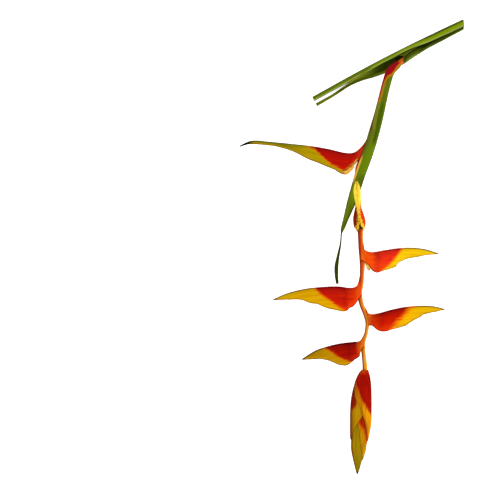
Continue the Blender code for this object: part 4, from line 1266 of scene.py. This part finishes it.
# %% [markdown]
# ## The green blades
#
# The leafy bract, the leaf sheath and the older leaf's stalk are all gutters: part of an oval
# carried along a line, with a wall that thins to its edges. A bevelled curve could sweep a fixed
# section, but these change theirs all the way, from a wrapped tube to an open strap. Ribs run
# along them.

# %% The shape of a gutter
GUTTER_EDGE_LESS = 0.6


def gutter(sections, wall, columns, ribs):
    """Points on part of an oval round each centre, from the start to the end angle. The wall is
    taken off both radii. The ribs add the cosine of the share across times their count to them."""
    centre, axis_1, axis_2, radius_1, radius_2, start, end = sections
    share = np.linspace(0.0, 1.0, columns)[None, :]
    angle = (start[:, None] + (end - start)[:, None] * share)[..., None]
    height, count = ribs
    ribbed = height * np.cos(2 * pi * count * share) - wall
    points = centre[:, None] + axis_1[:, None] * (radius_1[:, None] + ribbed)[..., None] * np.cos(angle)
    points += axis_2[:, None] * (radius_2[:, None] + ribbed)[..., None] * np.sin(angle)
    points[..., 2] = np.maximum(points[..., 2], wall)
    return points


def gutter_blade(name, sections, wall, columns, ribs, skins, red=None):
    """A gutter as a closed skin: both faces, the rounded edges and the ends. Its attributes are
    the run along its centres, the share of the way across and the distance from its edges."""
    centre, _, _, radius_1, radius_2, start, end = sections
    share = np.linspace(-1.0, 1.0, columns)[None, :]
    flat = np.zeros((len(centre), columns))
    outer = gutter(sections, flat, columns, ribs)
    inner = gutter(sections, wall * (1.0 - GUTTER_EDGE_LESS * np.abs(share) ** 4) + flat, columns, ribs)
    size = (end - start)[:, None] * ((radius_1 + radius_2) / 2)[:, None]
    return blade_mesh(
        name, outer, inner, size * share / 2, skins,
        place_across=(share + 1) / 2, from_edge=size * (1 - np.abs(share)) / 2,
        along=run_of(centre)[:, None],
        past_red=beyond(outer[..., :2], red) if red else 0.0,
    )


def table_at(rows, count):
    """Each column of a table at equal steps of its smooth curve."""
    return smooth_line(rows, np.linspace(0.0, 1.0, count)).T


print("share of a gutter's wall left at its edges:", round(1.0 - GUTTER_EDGE_LESS, 1))

# %% [markdown]
# Fresh green blades show bands of lighter and darker green side by side, which come from how the
# light falls on their bend and from the tissue itself. A ramp across the blade gives the bands, so
# it paints light and shade together with the tissue's own colour, veins break them up, and patches
# place what is particular to one blade: a pale stretch, a dark edge of painted shade, a brown
# border. A patch is its start and end along the blade in mm, its left and right as shares of the way
# across, and its colour. An edge may be pale on one stretch, and the inside has two greens and, far
# along, a third; its darker green is painted shade.

# %% The skin of a green blade
PATCH_FADE, PATCH_BEYOND, PATCH_SIDE_FADE, PALE_FADE = 9.0, 0.08, 0.12, 6.0


def gutter_skin(name, paint):
    """Green blade: colours across it with painted light and shade, veins along it, pale, brown or darkened
    edges and a darker inside of painted shade.
    """
    skin = Skin(name)
    fine, broad = skin.veins(3.0, 260.0), skin.veins(2.0, 60.0, 2.0)
    across = skin.held("place_across") + (broad - 0.5) * 0.25
    along = skin.held("along")
    over = [(fine.step(0.4, 0.7) * paint["veins"], paint["vein"])]
    for start, end, left, right, tone in paint["patches"]:
        beside = across.between(left - PATCH_BEYOND, right + PATCH_BEYOND, PATCH_SIDE_FADE)
        over.append((along.between(start, end, PATCH_FADE) * beside, tone))
    if "red" in paint:
        past = skin.held("past_red") + (fine - 0.5) * 5.0
        warm = skin.mix(past.step(-0.6, 0.6), paint["red"], paint["orange"])
        over.append((past.step(paint["fade"], 0.4), warm))
    inner = skin.mix(across.step(0.16, 0.4), *paint["inside"])
    inner = skin.mix(fine.step(0.35, 0.65) * 0.4, inner, paint["vein"])
    if "inside_far" in paint:
        start, end, tone = paint["inside_far"]
        inner = skin.mix(along.step(start, end) * 0.8, inner, tone)
    over.append((skin.held("inside"), inner))
    edge = paint["edge"]
    if "pale_edge" in paint:
        start, end, tone = paint["pale_edge"]
        edge = skin.mix(along.between(start, end, PALE_FADE) * across.step(0.5, 0.7), edge, tone)
    over.append((skin.held("from_edge").step(paint["margin"], 0.1), edge))
    relief = fine + skin.veins(60.0, 40.0, 2.0)
    return skin.done(skin.layers(skin.ramp(across, paint["across"]), *over), relief, 0.4, 0.00025)


print("a patch fades over mm:", PATCH_FADE)

# %% [markdown]
# ## The leafy bract
#
# The first bract of the flower is a leaf in all but name. It is crimson where it leaves the knee,
# with the red running down its left side, turns olive green, crosses over the stem and ends in a
# thread, the drip tip. Its rows are the x, y and height of its upper line, half its width and half
# its thickness, and how far it reaches round to the left and right of that line, in degrees. It
# could be two pieces, a sleeve and a strap. As one row of sections it changes from one to the other
# without a seam.

# %% Make the leafy bract
LEAFY_ROWS, LEAFY_COLUMNS, LEAFY_RIBS = 420, 61, (0.05, 14)
LEAFY_BRACT = [
    (46.6, 183.4, 13.2, 3.4, 3.5, 150, 150), (44.2, 181.0, 14.1, 3.9, 4.0, 150, 150),
    (41.4, 178.6, 14.8, 4.3, 4.3, 149, 149), (37.8, 174.6, 14.9, 4.4, 4.4, 150, 150),
    (33.9, 163.0, 14.05, 4.45, 4.45, 150, 150), (30.3, 148.5, 12.75, 4.6, 4.55, 150, 150),
    (26.5, 132.0, 11.8, 5.0, 4.8, 140, 140), (22.6, 117.5, 12.0, 5.4, 4.9, 96, 128),
    (18.4, 104.0, 13.1, 5.7, 4.2, 66, 104), (12.9, 87.0, 13.7, 5.6, 3.2, 74, 82),
    (7.2, 71.0, 13.5, 5.5, 2.9, 74, 74), (2.6, 56.0, 13.0, 5.2, 2.8, 74, 74),
    (-1.9, 42.0, 10.7, 4.4, 2.7, 74, 74), (-5.8, 30.0, 6.6, 3.0, 2.4, 78, 78),
    (-9.1, 19.5, 4.2, 2.1, 2.0, 80, 80), (-10.2, 16.4, 3.7, 1.7, 1.6, 84, 84),
    (-10.9, 13.6, 3.2, 0.9, 1.3, 84, 84), (-11.7, 3.0, 2.2, 0.85, 1.2, 84, 84),
    (-14.0, -9.0, 1.6, 1.4, 1.4, 84, 84), (-15.8, -20.0, 1.5, 2.0, 1.4, 80, 80),
    (-15.8, -29.0, 1.5, 1.8, 1.4, 80, 80), (-14.9, -37.3, 1.5, 1.3, 1.4, 80, 80),
]
LEAFY_RED = [(50.5, 184.4), (46.6, 182.2), (43.4, 178.6), (41.0, 175.0), (38.2, 172.2), (35.2, 170.4),
             (32.6, 167.4), (30.6, 162.5), (28.8, 156.5), (26.9, 149.5), (25.0, 146.0), (14.0, 146.0)]
LEAFY_PAINT = {
    "across": [(0.0, (88, 92, 14)), (0.22, (112, 118, 34)), (0.42, (114, 124, 26)), (0.5, (84, 104, 4)),
               (0.62, (104, 120, 8)), (0.76, (86, 106, 4)), (1.0, (80, 98, 4))],
    "vein": (62, 82, 2), "veins": 0.7, "margin": 0.5, "edge": (84, 92, 14),
    # the inside's dark green is painted shade
    "inside": ((46, 56, 8), (46, 56, 8)), "red": (156, 14, 24), "orange": (194, 122, 10), "fade": 3.0,
    "patches": [
        (-4.0, 9.0, 0.1, 0.215, (226, 170, 80)), (8.0, 78.0, -1.0, 0.26, (92, 56, 18)),
        (20.0, 76.0, 0.3, 0.46, (124, 128, 34)), (40.0, 92.0, 0.5, 0.6, (66, 92, 0)),
        # the second patch on the next line is painted shade: a dark band along the right edge, where the
        # blade turns under
        (98.0, 132.0, -1.0, 0.22, (250, 186, 66)), (118.0, 172.0, 0.86, 2.0, (34, 46, 2)),
        (126.0, 172.0, 0.25, 0.75, (112, 134, 12)), (82.0, 124.0, 0.3, 0.85, (102, 128, 10)),
        (176.0, 400.0, -1.0, 2.0, (52, 66, 6)),
    ],
}
leafy_rows = smooth_line(LEAFY_BRACT, np.linspace(0.0, 1.0, LEAFY_ROWS))
leafy_path, (leafy_wide, leafy_deep, leafy_left, leafy_right_reach) = leafy_rows[:, :3], leafy_rows[:, 3:].T
_, leafy_right, leafy_up = path_axes(leafy_path)
leafy_sections = (
    leafy_path - leafy_up * leafy_deep[:, None], leafy_up, leafy_right,
    leafy_deep, leafy_wide, -np.radians(leafy_left), np.radians(leafy_right_reach),
)
leafy_wall = 0.25 + 0.65 * ease(0.0, 7.0, LEAFY_BRACT[0][0] - leafy_rows[:, :1])
leafy_skins = [gutter_skin("olive leafy bract", LEAFY_PAINT)]
leafy = gutter_blade(
    "leafy_bract_blade", leafy_sections, leafy_wall, LEAFY_COLUMNS, LEAFY_RIBS, leafy_skins, LEAFY_RED,
)
dress(leafy, "leafy_bract")

# %% [markdown]
# ## The leaf stalks
#
# The two leaf stalks were cut with one stroke of a knife. The older one is a gutter round the
# younger one's sheath. The sheath is wrapped round the flower stem, splits open at the knee to let
# it out, and closes again to a thin stalk. Both follow one line, straight with a slight bow, so
# their rows only give the distance along it and the section there. They could be modelled apart and
# pushed together, but one line keeps them nested.
#
# A row of the outer stalk is its distance, radius, how far it reaches round below and above in
# degrees, and the height of its middle. A row of the sheath is its distance, its offset from the
# line, half its width and half its depth, how far it reaches round to either side, the height of
# its middle, and how far its seam is turned.

# %% The stalks' line and numbers
STALK_START = np.array([111.0, 227.5, 0.0])
STALK_LENGTH, STALK_BOW, STALK_ANGLE = 170.0, 1.9, radians(207.2)
STALK_DIRECTION = np.array([cos(STALK_ANGLE), sin(STALK_ANGLE), 0.0])
STALK_OUTWARD = np.array([sin(STALK_ANGLE), -cos(STALK_ANGLE), 0.0])
CUT_SKEW, CUT_SKEW_LENGTH = 0.44, 30.0
OUTER_STALK = [
    (0, 5.9, 80, 103, 6.0), (20, 5.9, 80, 103, 6.0), (40, 5.8, 81, 100, 6.0), (54, 5.7, 82, 86, 6.0),
    (66, 5.6, 83, 80, 5.95), (80, 5.5, 84, 84, 5.9), (105, 4.5, 95, 95, 5.0), (124, 3.2, 122, 122, 3.9),
    (140, 2.6, 152, 152, 3.0), (170, 2.4, 160, 160, 2.4),
]
INNER_SHEATH = [
    (0.3, -5.7, 3.9, 4.1, 176, 5.9, 30), (14, -6.0, 4.2, 4.3, 176, 5.9, 30),
    (30, -6.4, 4.5, 4.4, 175, 5.9, 28), (46, -6.7, 4.8, 4.5, 177, 5.9, 26),
    (57, -7.4, 5.3, 4.9, 178, 6.0, 22), (66, -8.2, 5.6, 5.6, 177, 6.3, 16),
    (71, -8.7, 5.8, 6.1, 166, 6.4, 6), (76, -8.9, 5.9, 5.8, 116, 6.1, 0),
    (80, -9.0, 5.9, 5.2, 84, 5.8, 0), (90, -9.2, 5.7, 4.9, 70, 5.4, 0), (104, -8.7, 4.4, 4.0, 76, 4.5, 0),
    (118, -7.4, 2.7, 3.0, 94, 3.5, 0), (126, -7.0, 2.2, 2.4, 108, 3.1, 0),
    (133, -7.2, 1.75, 2.0, 130, 2.8, 0), (141, -8.0, 1.6, 1.8, 152, 2.5, 0),
    (150, -8.8, 1.45, 1.7, 166, 2.2, 0), (170, -9.0, 1.7, 1.8, 168, 1.9, 0),
]
# The outer stalk's colours carry painted light and shade: a dark band where its outer side turns away, a
# pale stripe of painted highlight beside the sheath, and near-black painted shadow at that edge, on its
# margins and on its inside, which lies against the sheath. The last two patches carry the stripe and the
# dark edge on to the thin end.
OUTER_PAINT = {
    "across": [(0.0, (84, 100, 8)), (0.44, (40, 58, 0)), (0.62, (42, 62, 0)), (0.69, (96, 116, 6)),
               (0.8, (124, 146, 10)), (0.88, (142, 162, 30)), (0.93, (172, 190, 90)),
               (0.97, (110, 130, 16)), (1.0, (26, 38, 0))],
    "vein": (76, 98, 4), "veins": 0.6, "edge": (26, 38, 2), "inside": ((30, 42, 4), (30, 42, 4)),
    "margin": 0.7,
    "patches": [(-9.0, 80.0, 0.76, 0.85, (136, 154, 8)), (100.0, 400.0, 0.6, 0.85, (92, 112, 10)),
                (112.0, 400.0, 0.88, 0.91, (156, 172, 70)), (108.0, 400.0, 0.97, 2.0, (40, 56, 4))],
}
# The sheath's colours across it begin nearly black, a painted shadow where it lies under the older stalk,
# and its inside, beyond the bright green by its lower rim, is a dark green of painted shade.
SHEATH_PAINT = {
    "across": [(0.0, (6, 10, 0)), (0.09, (10, 16, 0)), (0.16, (46, 60, 2)), (0.23, (84, 102, 6)),
               (0.3, (112, 130, 20)), (0.36, (84, 100, 6)), (1.0, (70, 86, 6))],
    "vein": (40, 56, 2), "veins": 0.45, "edge": (118, 112, 28), "inside": ((150, 168, 36), (70, 90, 4)),
    "margin": 0.4, "pale_edge": (98.0, 142.0, (214, 176, 90)), "inside_far": (98.0, 118.0, (118, 140, 14)),
    "patches": [
        (48.0, 92.0, 0.06, 0.22, (62, 76, 6)), (52.0, 88.0, 0.19, 0.28, (140, 154, 58)),
        (116.0, 400.0, -1.0, 2.0, (116, 134, 18)), (122.0, 400.0, 0.4, 0.48, (62, 78, 4)),
    ],
}
print("sections of the outer stalk and of the sheath:", len(OUTER_STALK), len(INNER_SHEATH))

# %% [markdown]
# The line of both stalks bows a little, and the knife went through them at a slant. The slant could
# be cut with a Boolean, which leaves odd faces at the rim. Here the first stretch of the mesh is
# leaned over instead, so its rows stay whole.

# %% The stalks' bow and the slant of the cut


def stalk_point(distance, offset):
    """Points beside the stalks' outer edge. Its bow is a half wave of the sine over the length."""
    bow = STALK_BOW * np.sin(pi * np.clip(distance / STALK_LENGTH, 0.0, 1.0))
    return STALK_START + np.outer(distance, STALK_DIRECTION) + np.outer(offset + bow, STALK_OUTWARD)


def lean_mesh(piece):
    """Leans the piece's first stretch over as the knife cut it: each point moves back along the line
    by its offset from the line times a lean that falls to nothing over the first stretch."""
    flat = np.zeros(3 * len(piece.data.vertices), np.float32)
    piece.data.vertices.foreach_get("co", flat)
    points = flat.reshape(-1, 3) / MM
    distance, off = (points - STALK_START) @ STALK_DIRECTION, (points - STALK_START) @ STALK_OUTWARD
    lean = CUT_SKEW * np.clip(1.0 - distance / CUT_SKEW_LENGTH, 0.0, 1.0)
    points = points - STALK_DIRECTION * (off * lean)[:, None]
    piece.data.vertices.foreach_set("co", (points * MM).astype(np.float32).ravel())
    piece.data.update()


print("the stalks' line ends at", stalk_point(np.array([STALK_LENGTH]), 0.0)[0].round(1))

# %% Make the outer stalk and the sheath
OUTER_ROWS, OUTER_COLUMNS, OUTER_WALL, OUTER_RIBS = 260, 61, 1.15, (0.04, 16)
SHEATH_ROWS, SHEATH_COLUMNS, SHEATH_WALL, SHEATH_RIBS = 300, 71, 1.0, (0.04, 18)
cut_green = cut_skin("cut leaf stalk", (168, 176, 96), (96, 108, 44))


def all_along(axis, distance):
    """One direction for every section."""
    return np.tile(axis, (len(distance), 1))


distance, radius, below, above, height = table_at(OUTER_STALK, OUTER_ROWS)
outer_sections = (
    stalk_point(distance, -radius) + np.outer(height, UP), all_along(STALK_OUTWARD, distance),
    all_along(UP, distance), radius, radius, -np.radians(below), np.radians(above),
)
outer_skins = [gutter_skin("ribbed leaf stalk", OUTER_PAINT), cut_green]
outer_stalk = gutter_blade("outer_stalk_blade", outer_sections, OUTER_WALL, OUTER_COLUMNS, OUTER_RIBS,
                           outer_skins)
lean_mesh(outer_stalk)
dress(outer_stalk, "outer_leaf_stalk")

distance, offset, wide, deep, half_angle, height, seam = table_at(INNER_SHEATH, SHEATH_ROWS)
half_angle, seam = np.radians(half_angle), np.radians(seam)
sheath_sections = (
    stalk_point(distance, offset) + np.outer(height, UP), all_along(-UP, distance),
    all_along(STALK_OUTWARD, distance), deep, wide, -half_angle - seam, half_angle - seam,
)
sheath_skins = [gutter_skin("dark leaf sheath", SHEATH_PAINT), cut_green]
sheath = gutter_blade("leaf_sheath_blade", sheath_sections, SHEATH_WALL, SHEATH_COLUMNS, SHEATH_RIBS,
                      sheath_skins)
lean_mesh(sheath)
dress(sheath, "inner_leaf_sheath")

# %% [markdown]
# ## Floor, light and world
#
# The flower lies on plain white paper. In a studio such a picture is often taken on a lit table, so
# that hardly any shadow is left, and so the paper has a faint light of its own. A stronger lamp
# could wash the shadows out too, but it would flatten the flower with them. A wide soft lamp low on
# the right gives the stem and the bracts their lighter right sides, which the stem's skin adds to
# with painted light. The sky is white and even round the sides and darker above, so that the round
# pieces have their lightest line beside the middle.

# %% Paper
PAPER_WIDTH, PAPER_DROP, PAPER_LIGHT = 12.0, 0.0004, 0.65
PAPER_TONES = ((0.84, 0.84, 0.84, 1.0), (0.86, 0.86, 0.86, 1.0))
WHITE = (1.0, 1.0, 1.0, 1.0)

half = PAPER_WIDTH / 2
floor_mesh = bpy.data.meshes.new("paper")
floor_mesh.from_pydata([(-half, -half, 0), (half, -half, 0), (half, half, 0), (-half, half, 0)], [],
                       [(0, 1, 2, 3)])
floor = bpy.data.objects.new("paper", floor_mesh)
floor.location = (0.0, 0.0, -PAPER_DROP)
bpy.context.scene.collection.objects.link(floor)
paper = Skin("white paper", shine=0.9, coat=0.0)
grain = {0: paper.mottle(30.0), 6: PAPER_TONES[0], 7: PAPER_TONES[1]}
paper.set("Base Color", paper.add("Mix", grain, out=2, data_type="RGBA"))
paper.set("Emission Color", WHITE)
paper.set("Emission Strength", PAPER_LIGHT)
floor_mesh.materials.append(paper.material)
print("paper:", PAPER_WIDTH, "m wide")

# %% Lamp and sky
LAMP_PLACE, LAMP_SIZE, LAMP_POWER = (1.0, -1.0, 1.3), 1.2, 28.0
SKY, SKY_ABOVE = 1.95, 0.4

lamp_data = bpy.data.lights.new("key", "AREA")
lamp_data.size, lamp_data.energy = LAMP_SIZE, LAMP_POWER
lamp = bpy.data.objects.new("key", lamp_data)
lamp.location = LAMP_PLACE
lamp_x, lamp_y, lamp_z = LAMP_PLACE
lamp.rotation_euler = (0.0, atan2(np.hypot(lamp_x, lamp_y), lamp_z), atan2(-lamp_y, -lamp_x) + pi)
bpy.context.scene.collection.objects.link(lamp)

world = bpy.data.worlds.new("white studio")
world.use_nodes = True
bpy.context.scene.world = world
sky = Nodes(world.node_tree)
upwards = sky.add("SeparateXYZ", {0: sky.add("TexCoord", out="Generated")}, out="Z")
reach = {"Value": upwards, "From Min": 0.8, "From Max": 0.97, "To Min": SKY, "To Max": SKY_ABOVE}
strength = sky.add("MapRange", reach)
background = world.node_tree.nodes["Background"]
background.inputs["Color"].default_value = WHITE
world.node_tree.links.new(strength.socket, background.inputs["Strength"])
bpy.context.scene.view_settings.view_transform = "Standard"
print("lamps:", [light.name for light in bpy.data.lights])

# %% [markdown]
# ## Size
#
# The dressed flower must keep the size of the packed model.
